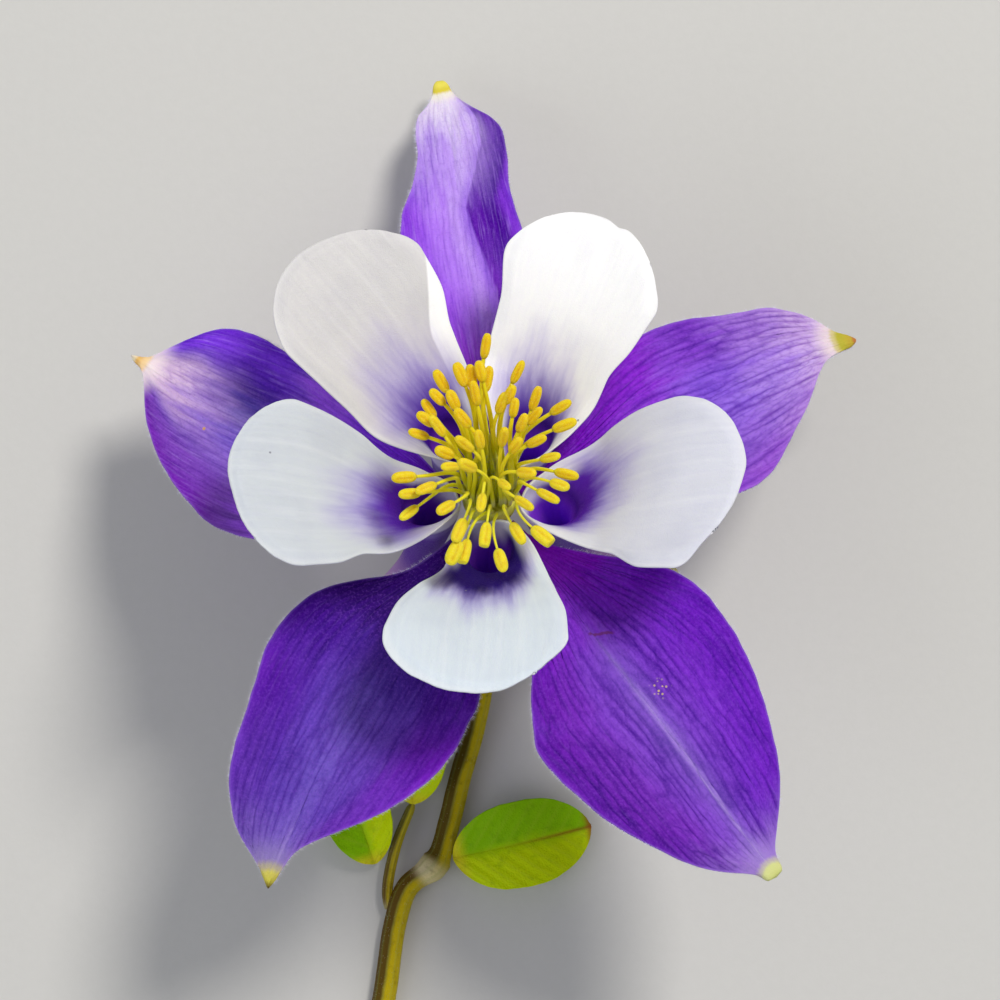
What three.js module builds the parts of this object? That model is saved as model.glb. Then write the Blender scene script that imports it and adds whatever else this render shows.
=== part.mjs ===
// One open columbine flower on its cut stem, laid on a table with its face up.
// Millimetres, +Z up, +Y towards the top of the flower's face, +X to its right.
// The flower is built in a frame of its own: x right, y up, z straight out of the face. It is
// then turned as a whole, so that it rests on the ends of two spurs and on its stem.
import * as THREE from "three";
import { mergeVertices } from "three/addons/utils/BufferGeometryUtils.js";

// ---- driving dimensions ----
const FACE_LEAN = 22; // degrees from straight up, towards +Y
const FACE_HEIGHT = 29.5; // from the table to the middle of the face

const PETAL_THICKNESS = 0.5;
const SEPAL_THICKNESS = 0.55;
const LEAFLET_THICKNESS = 0.5;

const MOUTH_FROM_AXIS = 6.2; // to the middle of a spur's mouth
const MOUTH_RADIUS = 2.9; // in the direction out from the flower's axis
const MOUTH_SQUEEZE = 0.83; // width of the mouth across, as a share of that

// shares of a spur's length from its mouth to the end of its knob, and its radius at each
const SPUR_STATIONS = [0, 0.13, 0.26, 0.4, 0.54, 0.68, 0.82, 0.92, 0.96, 0.985, 1];
const SPUR_RADII = [MOUTH_RADIUS, 2.3, 1.85, 1.5, 1.22, 1, 0.82, 0.8, 1.15, 0.85, 0];

const BLADE_PITCH = 17; // degrees that a blade's end rises from the plane of the face
const BLADE_START = 3.6; // how far a blade runs straight out of its mouth
const BLADE_END = 9.5; // how far its end runs straight towards the tip
const BLADE_CUP = 22; // radius of its hollow across, at its narrow part
const RING_OPENS = 0.42; // share of its length by which the mouth's ring has opened flat
const BLADE_SHOULDER = 0.74; // share of a blade's length at which it is widest
const FLANK_STATIONS = [0, 0.1, 0.25, 0.45, 0.6, BLADE_SHOULDER];

// mouth and tip are clock angles, in degrees clockwise from the top of the face. reach and rise
// place the blade's tip, and spur gives the clock angle, distance from the axis and depth of its
// knob. left and right are half widths at the flank stations after the mouth, and corner makes
// the two shoulders fuller or leaner than an ellipse.
const PETALS = {
  upper_right: {
    mouth: 36, tip: 28, reach: 27.0, rise: 12.5, corner: [1.0, 0.9], spur: [38, 15, 27],
    left: [7.8, 7.2, 7.5, 7.8, 9.0], right: [6.2, 5.2, 5.2, 6.8, 8.0],
  },
  right: {
    mouth: 107, tip: 95, reach: 24.8, rise: 12.5, corner: [1.0, 0.96], spur: [94, 19.5, 20],
    left: [6.5, 5.9, 7.0, 7.7, 7.9], right: [6.8, 6.2, 7.6, 10.0, 10.7],
  },
  bottom: {
    mouth: 181, tip: 183, reach: 25.5, rise: 12.0, corner: [0.95, 1.02], spur: [197, 14, 26],
    left: [6.8, 6.0, 7.0, 8.1, 8.5], right: [5.6, 4.5, 6.6, 8.3, 9.2],
  },
  left: {
    mouth: 253, tip: 264, reach: 25.5, rise: 12.0, corner: [1.0, 0.98], spur: [257, 16, 25],
    left: [7.4, 6.8, 7.3, 9.1, 9.9], right: [5.8, 5.0, 6.4, 7.4, 8.1],
  },
  upper_left: {
    mouth: 324, tip: 318, reach: 28.0, rise: 12.0, corner: [1.0, 0.98], spur: [322, 15, 27],
    left: [7.3, 6.7, 6.8, 7.2, 7.8], right: [6.6, 5.7, 6.8, 8.7, 9.5],
  },
};

const SEPAL_ROOT = 3.1; // from the flower's axis
const SEPAL_DEPTH = 2.4; // how far the roots lie behind the face
const SEPAL_DROP = 8; // how far the tips bend back behind it
const SEPAL_CHANNEL = 12; // radius of the gutter at a sepal's root
const SEPAL_HOLLOW = 38; // and of the shallow hollow across its blade
// clock angles of the root, the two thirds and the tip, and half widths at the stations
const SEPAL_STATIONS = [0, 0.08, 0.2, 0.35, 0.5, 0.65, 0.8, 0.9, 0.96, 1];
const SEPALS = {
  top: {
    clock: [0, -2, -5, -6.2], reach: 50.5, curl: 0.07,
    left: [0.6, 0.6, 3.2, 6.0, 7.6, 5.8, 3.6, 3.1, 1.1, 0],
    right: [0.6, 0.6, 3.2, 5.6, 6.3, 5.7, 5.9, 3.5, 1.6, 0],
  },
  right: {
    clock: [71, 66, 60, 62], reach: 43.0, curl: 0,
    left: [0.6, 0.6, 3.4, 7.5, 9.4, 7.8, 6.6, 4.4, 1.9, 0],
    right: [0.6, 0.6, 4.0, 9.5, 11.4, 8.8, 4.5, 0.9, 0.7, 0],
  },
  lower_right: {
    clock: [144, 144.5, 144, 143.2], reach: 47.0, curl: 0,
    left: [0.6, 0.6, 4.5, 10.9, 11.4, 10.1, 7.3, 4.2, 2.0, 0],
    right: [0.6, 0.6, 3.8, 8.0, 12.4, 11.2, 7.9, 4.9, 2.4, 0],
  },
  lower_left: {
    clock: [215, 212, 213, 209.3], reach: 44.5, curl: 0,
    left: [0.6, 0.6, 4.5, 9.8, 11.3, 9.9, 5.2, 0.9, 0.4, 0],
    right: [0.6, 0.6, 2.5, 9.7, 10.8, 9.4, 7.9, 5.3, 2.6, 0],
  },
  left: {
    clock: [288, 283, 288, 296.4], reach: 41.5, curl: 0,
    left: [0.6, 0.6, 4.5, 10.5, 12.4, 10.1, 5.9, 2.0, 0.6, 0],
    right: [0.6, 0.6, 2.5, 4.8, 7.2, 8.6, 8.2, 5.4, 1.8, 0],
  },
};

const RECEPTACLE_PROFILE = [[0, -4.9], [1.3, -4.9], [2.6, -3.1], [2.8, -1.4], [2.5, -0.5], [0, 0]];

const CARPELS = 5;
const CARPEL_RING = 1.03; // from the axis to a carpel's foot
const CARPEL_HEIGHT = 11.5;
const CARPEL_PROFILE = [ // radius and share of the height, from the foot to the style's end
  [0, 0], [0.4, 0], [0.52, 0.2], [0.42, 0.42], [0.17, 0.58], [0.14, 1], [0, 1],
];

// Where each anther shows, in millimetres right of and above the middle of the face, seen from
// straight above.
const ANTHERS = [
  [-0.4, 14.2], [-0.9, 11.8], [2.7, 11.6], [2.0, 9.5], [-1.4, 9.5], [-2.8, 11.3], [-4.7, 10.7],
  [-3.6, 9.0], [-6.0, 8.2], [-5.0, 6.3], [-7.0, 5.6], [-2.6, 7.1], [-4.4, 3.8], [-2.1, 2.5],
  [-8.3, 1.4], [-6.2, 0.3], [-7.9, -2.1], [2.6, 4.6], [4.4, 9.0], [3.2, 6.8], [6.9, 8.2],
  [7.2, 6.4], [4.6, 4.9], [5.9, 3.3], [7.4, 1.7], [3.6, 1.8], [1.5, 0.6], [3.3, -1.1],
  [-2.9, -3.7], [-3.4, -5.9], [-0.4, -4.1], [1.1, -6.7], [2.7, -4.0], [5.0, -4.2],
  [-2.4, 4.6], [-0.8, -1.2], [5.6, -0.4], [-4.3, -1.6],
];
const STAMEN_LENGTH = 16; // from the middle of the face to an anther
const STAMEN_SLOPE = 0.12; // the upper stamens are longer by this share of their height
const STAMEN_RINGS = [{ count: 16, radius: 1.85 }, { count: 22, radius: 2.35 }];
const STAMEN_FOOT = 0.3; // height of a filament's foot above the middle of the face
const STAMEN_ARCH = { lift: 0.12, inset: 0.82 }; // how a filament's middle bows up and inwards
const FILAMENT_RADIUS = 0.16;
const ANTHER_RADIUS = 0.65;
const ANTHER_LENGTH = 2.6;

// the stem's line on the table, from the cut end to the receptacle
const STEM_LINE = [
  [-19.5, -96, 1.25], [-16.6, -78, 1.25], [-13.6, -64, 1.25], [-11.4, -54, 1.25],
  [-10.2, -46, 1.4], [-8.9, -42.2, 1.65], [-5.9, -39.6, 1.6], [-4.5, -35.5, 1.3],
  [-3.3, -30.6, 1.3], [-1.9, -25.6, 1.6], [-0.9, -20.6, 2.8], [-0.4, -14.6, 5.6],
  [-0.1, -9.8, 9.9],
];
const STEM_RADIUS = 1.25;
const STEM_NODE = { share: 0.42, radius: 1.6, spread: 0.02 };
const STEM_SEAT = -5.2; // where the pedicel ends, just behind the receptacle

const SIDE_STALK_LINE = [[-10.95, -41.5, 1.6], [-10.0, -37.4, 2.1], [-8.4, -33.6, 2.8]];
const SIDE_STALK_RADIUS = 0.6;
const LEAFLET_FOLD = 0.25; // rise of a leaflet's halves from its midrib, per width
const LEAFLETS = {
  right: { from: [-4.0, -39.05, 1.9], to: [10.7, -35.7, 1.4], arch: 1.5, width: 4.6 },
  left: { from: [-12.4, -39.7, 1.6], to: [-16.4, -27.4, 1.4], arch: 1.5, width: 3.6 },
  middle: { from: [-8.3, -33.2, 2.95], to: [-7.4, -20.6, 3.6], arch: 1.2, width: 3.4 },
};

// ---- finishes ----
function finish(colour, roughness) {
  return new THREE.MeshStandardMaterial({ color: colour, roughness, metalness: 0 });
}
const VIOLET = finish(0x5a2ab4, 0.6);
const WHITE = finish(0xe9e6f2, 0.6);
const PALE_GREEN = finish(0xb9c46a, 0.6);
const YELLOW = finish(0xe8c625, 0.75);
const STEM_GREEN = finish(0x6f7030, 0.6);
const LEAF_GREEN = finish(0x6c9a3c, 0.65);

// ---- curves and sections ----
const radians = THREE.MathUtils.degToRad;
const smooth = (x) => THREE.MathUtils.smoothstep(x, 0, 1);

// a point of the flower's frame, from its clock angle, its distance from the axis and its height
function onFace(clock, radius, height) {
  const angle = radians(clock);
  return new THREE.Vector3(radius * Math.sin(angle), radius * Math.cos(angle), height);
}

// a smooth line through values given at stations, with no overshoot
function through(stations, values, at) {
  const last = stations.length - 1;
  const slope = (i) => (values[i + 1] - values[i]) / (stations[i + 1] - stations[i]);
  const tangent = (i) => {
    if (i === 0 || i === last) {
      return slope(Math.min(i, last - 1));
    }
    const product = slope(i - 1) * slope(i);
    return product <= 0 ? 0 : (2 * product) / (slope(i - 1) + slope(i));
  };
  let i = 0;
  while (i < last - 1 && at > stations[i + 1]) {
    i += 1;
  }
  const width = stations[i + 1] - stations[i];
  const x = THREE.MathUtils.clamp((at - stations[i]) / width, 0, 1);
  const fromLeft = (1 + 2 * x) * (1 - x) ** 2 * values[i] + x * (1 - x) ** 2 * width * tangent(i);
  const fromRight = x * x * (3 - 2 * x) * values[i + 1] + x * x * (x - 1) * width * tangent(i + 1);
  return fromLeft + fromRight;
}

// the curve's own directions at a point: along it, across it to the clockwise side, and out of
// its front
function bladeFrame(curve, clock, t) {
  const along = curve.getTangent(t);
  const across = new THREE.Vector3(Math.cos(radians(clock)), -Math.sin(radians(clock)), 0);
  across.addScaledVector(along, -across.dot(along)).normalize();
  const front = new THREE.Vector3().crossVectors(across, along);
  return { along, across, front };
}

// a point at a distance to the side of a curve, measured along a section bent to a curvature
function onSection(point, frame, curvature, aside, squeeze = 1) {
  const angle = curvature * aside;
  point.addScaledVector(frame.across, (Math.sin(angle) / curvature) * squeeze);
  return point.addScaledVector(frame.front, (1 - Math.cos(angle)) / curvature);
}

// ---- solids ----
// a grid of columns and rows, each vertex placed by surface(side, row), side from -1 to 1
function sheet(columns, rows, surface) {
  const grid = new THREE.PlaneGeometry(1, 1, columns, rows);
  const { position, uv } = grid.attributes;
  for (let i = 0; i < position.count; i += 1) {
    const point = surface(2 * uv.getX(i) - 1, (1 - uv.getY(i)) * rows);
    position.setXYZ(i, point.x, point.y, point.z);
  }
  // the last square is split through its outer corner, which can lie flat on a blade's margin
  const [a, b, d, , c] = grid.index.array.slice(-6);
  grid.index.array.set([a, b, c, a, c, d], grid.index.count - 6);
  return grid;
}

function merged(geometry) {
  geometry.deleteAttribute("normal");
  geometry.deleteAttribute("uv");
  return mergeVertices(geometry, 1e-3);
}

// a closed skin of even thickness on both sides of a sheet, with its open edges walled
function thicken(open, thickness) {
  const middle = merged(open);
  middle.computeVertexNormals();
  const { position, normal } = middle.attributes;
  const count = position.count;
  const points = [];
  for (const side of [0.5, -0.5]) {
    for (let i = 0; i < count; i += 1) {
      const point = new THREE.Vector3().fromBufferAttribute(position, i);
      const front = new THREE.Vector3().fromBufferAttribute(normal, i);
      points.push(...point.addScaledVector(front, side * thickness));
    }
  }
  const edges = new Map();
  const faces = [];
  const index = middle.index.array;
  for (let i = 0; i < index.length; i += 3) {
    const [a, b, c] = [index[i], index[i + 1], index[i + 2]];
    if (a === b || b === c || c === a) {
      continue;
    }
    faces.push(a, b, c, count + a, count + c, count + b);
    for (const [from, to] of [[a, b], [b, c], [c, a]]) {
      if (!edges.delete(`${to},${from}`)) {
        edges.set(`${from},${to}`, [from, to]);
      }
    }
  }
  for (const [from, to] of edges.values()) {
    faces.push(from, count + from, to, to, count + from, count + to);
  }
  const solid = new THREE.BufferGeometry();
  solid.setAttribute("position", new THREE.Float32BufferAttribute(points, 3));
  solid.setIndex(faces);
  solid.computeVertexNormals();
  return solid;
}

// a turned solid bent along a curve: the profile gives radius and share of the curve's length
function bent(profile, sides, curve) {
  const FRAMES = 120;
  const { normals, binormals } = curve.computeFrenetFrames(FRAMES);
  const solid = new THREE.LatheGeometry(profile.map(([r, y]) => new THREE.Vector2(r, y)), sides);
  const { position } = solid.attributes;
  for (let i = 0; i < position.count; i += 1) {
    const share = THREE.MathUtils.clamp(position.getY(i), 0, 1);
    const frame = Math.round(share * FRAMES);
    const point = curve.getPointAt(share);
    point.addScaledVector(binormals[frame], position.getX(i));
    point.addScaledVector(normals[frame], position.getZ(i));
    position.setXYZ(i, point.x, point.y, point.z);
  }
  return merged(solid);
}

function named(name, geometry, material) {
  geometry.computeVertexNormals();
  const mesh = new THREE.Mesh(geometry, material);
  mesh.name = name;
  return mesh;
}

// ---- petals: a broad blade that runs back as a hollow spur with a closed knob ----
function petalCurve(petal) {
  const root = onFace(petal.mouth, MOUTH_FROM_AXIS + MOUTH_RADIUS, 0);
  const pitch = radians(BLADE_PITCH);
  const near = petal.reach - BLADE_END * Math.cos(pitch);
  const low = petal.rise - BLADE_END * Math.sin(pitch);
  return new THREE.CubicBezierCurve3(
    root,
    root.clone().setZ(BLADE_START),
    onFace(petal.tip, near, low),
    onFace(petal.tip, petal.reach, petal.rise),
  );
}

// from a full ring at the mouth to an open, lightly cupped blade
function petalCurvature(t) {
  const ring = (1 - smooth(t / RING_OPENS)) ** 1.3 / MOUTH_RADIUS;
  const cup = (smooth(t / 0.3) * (1 - 0.55 * t)) / BLADE_CUP;
  return ring + cup;
}

function petalHalfWidth(petal, side, t) {
  const half = [Math.PI * MOUTH_RADIUS, ...(side < 0 ? petal.left : petal.right)];
  return through(FLANK_STATIONS, half, t);
}

// the unrolled blade: its outer end is half an ellipse, and rows and columns bend with it
function petalOutline(petal, side, row, flankRows, endRows) {
  if (row <= flankRows) {
    const t = (BLADE_SHOULDER * row) / flankRows;
    return { t, aside: side * petalHalfWidth(petal, side, t) };
  }
  const q = (row - flankRows) / endRows;
  const corner = petal.corner[side < 0 ? 0 : 1];
  const full = 1 + (corner - 1) * 4 * q * Math.abs(side) * (1 - 0.5 * q);
  const across = side * Math.sqrt(1 - (q * q) / 2) * full;
  const along = q * Math.sqrt(1 - (side * side) / 2) * full;
  return {
    t: BLADE_SHOULDER + (1 - BLADE_SHOULDER) * along,
    aside: across * petalHalfWidth(petal, side, BLADE_SHOULDER),
  };
}

function spurCurve(petal) {
  const [clock, spread, depth] = petal.spur;
  return new THREE.CubicBezierCurve3(
    onFace(petal.mouth, MOUTH_FROM_AXIS, 0),
    onFace(petal.mouth, MOUTH_FROM_AXIS, -0.3 * depth),
    onFace(petal.mouth, MOUTH_FROM_AXIS + 0.15 * (spread - MOUTH_FROM_AXIS), -0.7 * depth),
    onFace(clock, spread, -depth),
  );
}

function petalSolid(petal) {
  const SPUR_ROWS = SPUR_STATIONS.length - 1;
  const FLANK_ROWS = 6;
  const END_ROWS = 4;
  const blade = petalCurve(petal);
  const spur = spurCurve(petal);
  const surface = (side, row) => {
    if (row < SPUR_ROWS) {
      const ring = Math.round(SPUR_ROWS - row);
      const back = SPUR_STATIONS[ring];
      const radius = SPUR_RADII[ring];
      const frame = bladeFrame(spur, petal.mouth, back);
      frame.front.negate();
      const squeeze = MOUTH_SQUEEZE + (1 - MOUTH_SQUEEZE) * smooth(back / 0.3);
      const point = spur.getPoint(back);
      point.addScaledVector(frame.front, -radius * Math.cos(Math.PI * side));
      return point.addScaledVector(frame.across, radius * Math.sin(Math.PI * side) * squeeze);
    }
    const { t, aside } = petalOutline(petal, side, row - SPUR_ROWS, FLANK_ROWS, END_ROWS);
    const clock = petal.mouth + (petal.tip - petal.mouth) * smooth(t);
    const frame = bladeFrame(blade, clock, t);
    const squeeze = MOUTH_SQUEEZE + (1 - MOUTH_SQUEEZE) * smooth(t / 0.35);
    return onSection(blade.getPoint(t), frame, petalCurvature(t), aside, squeeze);
  };
  return thicken(sheet(10, SPUR_ROWS + FLANK_ROWS + END_ROWS, surface), PETAL_THICKNESS);
}

// ---- sepals: coloured, pointed leaves that pass between the spurs, behind the petals ----
function sepalSolid(sepal) {
  const ROWS = 14;
  const curve = new THREE.CubicBezierCurve3(
    onFace(sepal.clock[0], SEPAL_ROOT, -SEPAL_DEPTH),
    onFace(sepal.clock[1], 0.36 * sepal.reach, -SEPAL_DEPTH),
    onFace(sepal.clock[2], 0.7 * sepal.reach, -1.25 * SEPAL_DEPTH),
    onFace(sepal.clock[3], sepal.reach, -SEPAL_DROP),
  );
  const surface = (side, row) => {
    const t = row / ROWS;
    const half = through(SEPAL_STATIONS, side < 0 ? sepal.left : sepal.right, t);
    const clock = sepal.clock[0] + (sepal.clock[3] - sepal.clock[0]) * smooth(t);
    const channel = (1 - smooth(t / 0.35)) / SEPAL_CHANNEL;
    const hollow = smooth(t / 0.3) / SEPAL_HOLLOW;
    const curvature = channel + hollow + sepal.curl * smooth((t - 0.3) / 0.3);
    const frame = bladeFrame(curve, clock, t);
    return onSection(curve.getPoint(t), frame, curvature, side * half);
  };
  return thicken(sheet(6, ROWS, surface), SEPAL_THICKNESS);
}

// ---- the middle of the flower ----
function receptacleSolid() {
  const profile = RECEPTACLE_PROFILE.map(([r, y]) => new THREE.Vector2(r, y));
  return merged(new THREE.LatheGeometry(profile, 20).rotateX(Math.PI / 2));
}

function carpelSolid(i) {
  const clock = (360 * i) / CARPELS;
  const curve = new THREE.QuadraticBezierCurve3(
    onFace(clock, CARPEL_RING, STAMEN_FOOT),
    onFace(clock, 1.1 * CARPEL_RING, 0.6 * CARPEL_HEIGHT),
    onFace(clock, 1.3 * CARPEL_RING, CARPEL_HEIGHT),
  );
  return bent(CARPEL_PROFILE, 8, curve);
}

// Each stamen's foot stands on a ring, in the order of the anthers round the flower, so that no
// two filaments cross. The more upright ones stand on the inner ring.
function stamenCurves() {
  const lean = radians(FACE_LEAN);
  const stamens = ANTHERS.map(([x, up], i) => {
    const length = STAMEN_LENGTH + STAMEN_SLOPE * up + (i % 2 ? 0.5 : -0.5);
    const seen = new THREE.Vector3(x, up, Math.sqrt(length ** 2 - x ** 2 - up ** 2));
    const anther = seen.applyAxisAngle(new THREE.Vector3(1, 0, 0), lean);
    anther.multiplyScalar(1 + (0.5 * ANTHER_LENGTH) / length);
    const turn = THREE.MathUtils.radToDeg(Math.atan2(anther.x, anther.y));
    return { anther, turn, spread: Math.hypot(anther.x, anther.y) };
  });
  const upright = [...stamens].sort((a, b) => a.spread - b.spread);
  let first = 0;
  for (const ring of STAMEN_RINGS) {
    const members = upright.slice(first, first + ring.count).sort((a, b) => a.turn - b.turn);
    const step = 360 / ring.count;
    const ahead = members.map((stamen, k) => stamen.turn - step * k);
    const start = ahead.reduce((sum, angle) => sum + angle, 0) / ring.count;
    members.forEach((stamen, k) => {
      const foot = onFace(start + step * k, ring.radius, STAMEN_FOOT);
      const knee = foot.clone().lerp(stamen.anther, 0.5);
      knee.multiply(new THREE.Vector3(STAMEN_ARCH.inset, STAMEN_ARCH.inset, 1));
      knee.z += STAMEN_ARCH.lift * stamen.anther.length();
      stamen.curve = new THREE.QuadraticBezierCurve3(foot, knee, stamen.anther);
    });
    first += ring.count;
  }
  return stamens.map((stamen) => stamen.curve);
}

function stamenSolid(curve) {
  const anther = ANTHER_LENGTH / curve.getLength();
  const profile = [
    [0, 0], [FILAMENT_RADIUS, 0], [0.9 * FILAMENT_RADIUS, 0.5], [0.7 * FILAMENT_RADIUS, 1 - anther],
    [ANTHER_RADIUS, 1 - 0.75 * anther], [ANTHER_RADIUS, 1 - 0.3 * anther], [0, 1],
  ];
  return bent(profile, 6, curve);
}

// ---- stem and bract ----
const vectors = (points) => points.map((p) => new THREE.Vector3(...p));

function stemSolid(seat) {
  const curve = new THREE.CatmullRomCurve3([...vectors(STEM_LINE), ...seat], false, "centripetal");
  const STEPS = 44;
  const profile = [[0, 0]];
  for (let i = 0; i <= STEPS; i += 1) {
    const share = i / STEPS;
    const away = (share - STEM_NODE.share) / STEM_NODE.spread;
    const swelling = (STEM_NODE.radius - STEM_RADIUS) * Math.exp(-away * away);
    profile.push([STEM_RADIUS * (1 - 0.1 * share) + swelling, share]);
  }
  profile.push([0, 1]);
  return bent(profile, 10, curve);
}

function sideStalkSolid() {
  const r = SIDE_STALK_RADIUS;
  const profile = [[0, 0], [r, 0], [r, 0.25], [0.95 * r, 0.5], [0.9 * r, 0.75]];
  profile.push([0.85 * r, 1], [0, 1]);
  return bent(profile, 8, new THREE.CatmullRomCurve3(vectors(SIDE_STALK_LINE)));
}

// an elliptic leaflet, folded a little along its midrib
function leafletSolid({ from, to, arch, width }) {
  const ROWS = 10;
  const [start, end] = vectors([from, to]);
  const along = end.clone().sub(start);
  const across = new THREE.Vector3(along.y, -along.x, 0).normalize();
  const surface = (side, row) => {
    const t = row / ROWS;
    const belly = Math.sin(Math.PI * t ** 0.85) ** 0.75;
    const half = Math.max(0.35 * (1 - t), width * belly);
    const point = start.clone().addScaledVector(along, t);
    point.z += arch * Math.sin(Math.PI * t) + LEAFLET_FOLD * Math.abs(side * half);
    return point.addScaledVector(across, side * half);
  };
  return thicken(sheet(6, ROWS, surface), LEAFLET_THICKNESS);
}

// ---- assembly ----
const flower = new THREE.Group();
for (const [where, sepal] of Object.entries(SEPALS)) {
  flower.add(named(`sepal_${where}`, sepalSolid(sepal), VIOLET));
}
for (const [where, petal] of Object.entries(PETALS)) {
  flower.add(named(`petal_${where}`, petalSolid(petal), WHITE));
}
flower.add(named("receptacle", receptacleSolid(), PALE_GREEN));
for (let i = 0; i < CARPELS; i += 1) {
  flower.add(named(`carpel_${i + 1}`, carpelSolid(i), PALE_GREEN));
}
stamenCurves().forEach((curve, i) => {
  const number = String(i + 1).padStart(2, "0");
  flower.add(named(`stamen_${number}`, stamenSolid(curve), YELLOW));
});
flower.rotation.x = -radians(FACE_LEAN);
flower.position.z = FACE_HEIGHT;
flower.updateMatrixWorld();

const onAxis = (z) => flower.localToWorld(new THREE.Vector3(0, 0, z));
const seat = [onAxis(2.6 * STEM_SEAT), onAxis(STEM_SEAT)];
const plant = new THREE.Group();
plant.add(flower);
plant.add(named("stem", stemSolid(seat), STEM_GREEN));
plant.add(named("leaflet_stalk", sideStalkSolid(), STEM_GREEN));
for (const [where, leaflet] of Object.entries(LEAFLETS)) {
  plant.add(named(`leaflet_${where}`, leafletSolid(leaflet), LEAF_GREEN));
}

// the origin is on the table, under the middle of everything
const extent = new THREE.Box3().setFromObject(plant, true);
const middle = extent.getCenter(new THREE.Vector3());
plant.position.set(-middle.x, -middle.y, -extent.min.z);

export default plant;
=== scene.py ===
"""One open columbine flower on its cut stem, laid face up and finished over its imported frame."""
import math

import bpy
import numpy as np
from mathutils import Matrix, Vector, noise


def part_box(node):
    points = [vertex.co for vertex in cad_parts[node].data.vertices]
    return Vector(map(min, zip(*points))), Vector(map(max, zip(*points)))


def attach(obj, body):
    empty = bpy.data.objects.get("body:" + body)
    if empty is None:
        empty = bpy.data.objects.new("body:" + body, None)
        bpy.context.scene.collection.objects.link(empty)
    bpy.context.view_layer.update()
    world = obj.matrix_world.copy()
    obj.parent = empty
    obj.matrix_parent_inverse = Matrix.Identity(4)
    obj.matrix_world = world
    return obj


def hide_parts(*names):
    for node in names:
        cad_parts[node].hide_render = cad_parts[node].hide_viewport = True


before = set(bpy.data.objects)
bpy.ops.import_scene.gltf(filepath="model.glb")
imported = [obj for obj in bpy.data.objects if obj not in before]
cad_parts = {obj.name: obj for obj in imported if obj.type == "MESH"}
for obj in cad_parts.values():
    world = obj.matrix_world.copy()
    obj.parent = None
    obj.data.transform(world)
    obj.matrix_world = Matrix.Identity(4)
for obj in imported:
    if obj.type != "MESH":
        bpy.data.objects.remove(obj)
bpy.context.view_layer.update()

bl_info = {
    "name": "Columbine flower",
    "version": (1, 0, 0),
    "blender": (4, 5, 0),
    "location": "3D View > Sidebar > Columbine",
    "description": "Builds one columbine flower with its sepals, petals, stamens, pistils and stem",
    "category": "Add Mesh",
}

MM = 0.001
BODY = "root"

# ---- the flower's dimensions, in millimetres and degrees, as the frame has them ----
FACE_LEAN = 22.0
FACE_HEIGHT = 29.5
RECEPTACLE_RIM = (2.5, -0.5)  # radius, and height from the middle of the face

MOUTH_FROM_AXIS = 6.2
MOUTH_RADIUS = 2.9
MOUTH_SQUEEZE = 0.83
SPUR_STATIONS = [0, 0.13, 0.26, 0.4, 0.54, 0.68, 0.82, 0.91, 0.935, 0.96, 0.975, 0.985, 0.993, 0.998, 1]
SPUR_RADII = [MOUTH_RADIUS, 2.3, 1.85, 1.5, 1.22, 1, 0.82, 0.8, 0.94, 1.03, 0.95, 0.8, 0.57, 0.31, 0]
BLADE_PITCH = 17.0
BLADE_START = 3.6
BLADE_END = 9.5
BLADE_CUP = 22.0
RING_OPENS = 0.42
BLADE_SHOULDER = 0.74
FLANK_STATIONS = [0, 0.1, 0.25, 0.45, 0.6, BLADE_SHOULDER]

# Clock angles of mouth and tip, the tip's reach and rise, the spur's clock angle, spread and
# depth, half widths at the flank stations and how full the two shoulders are. dents lists nicks
# in the rim: place from -1 to 1, depth as a share, and width.
PETALS = {
    "upper_right": dict(
        mouth=36, tip=28, reach=27.0, rise=12.5, corner=(1.0, 0.97), spur=(38, 15, 27),
        left=[7.8, 7.2, 7.5, 7.8, 9.0], right=[6.2, 5.2, 5.3, 6.5, 7.35],
        dents=[(0.02, 0.05, 0.07), (0.35, 0.012, 0.12)],
    ),
    "right": dict(
        mouth=107, tip=95, reach=24.8, rise=12.5, corner=(1.0, 0.96), spur=(94, 19.5, 20),
        left=[6.5, 5.9, 7.0, 7.7, 7.9], right=[6.8, 6.2, 7.6, 10.0, 10.7],
        dents=[(-0.3, 0.012, 0.12), (0.6, 0.015, 0.1)],
    ),
    "bottom": dict(
        mouth=181, tip=183, reach=25.5, rise=12.0, corner=(0.95, 1.02), spur=(197, 14, 26),
        left=[6.8, 6.0, 7.0, 8.1, 8.5], right=[5.6, 4.5, 6.6, 8.3, 9.2],
        dents=[(-0.35, 0.01, 0.15)],
    ),
    "left": dict(
        mouth=253, tip=264, reach=25.5, rise=12.0, corner=(1.0, 0.98), spur=(257, 16, 25),
        left=[7.4, 6.8, 7.3, 9.1, 9.9], right=[5.8, 5.0, 6.4, 7.4, 8.1],
        dents=[(-0.2, 0.02, 0.08), (0.35, 0.012, 0.1)],
    ),
    "upper_left": dict(
        mouth=324, tip=318, reach=28.0, rise=12.0, corner=(1.0, 0.98), spur=(322, 15, 27),
        left=[7.3, 6.7, 6.8, 7.2, 7.8], right=[6.6, 5.7, 6.8, 8.7, 9.5],
        dents=[(0.3, 0.012, 0.1)],
    ),
}

SEPAL_ROOT = 3.1
SEPAL_DEPTH = 2.4
SEPAL_DROP = 8.0
SEPAL_CHANNEL = 12.0
SEPAL_HOLLOW = 38.0
SEPAL_STATIONS = [
    0, 0.04, 0.08, 0.12, 0.2, 0.3, 0.4, 0.5, 0.6, 0.65, 0.7, 0.75, 0.8, 0.85, 0.9, 0.93, 0.95, 0.975,
]
SEPAL_FOOT = [0.6, 0.8]  # half widths at the first two stations, the same for all

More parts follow.
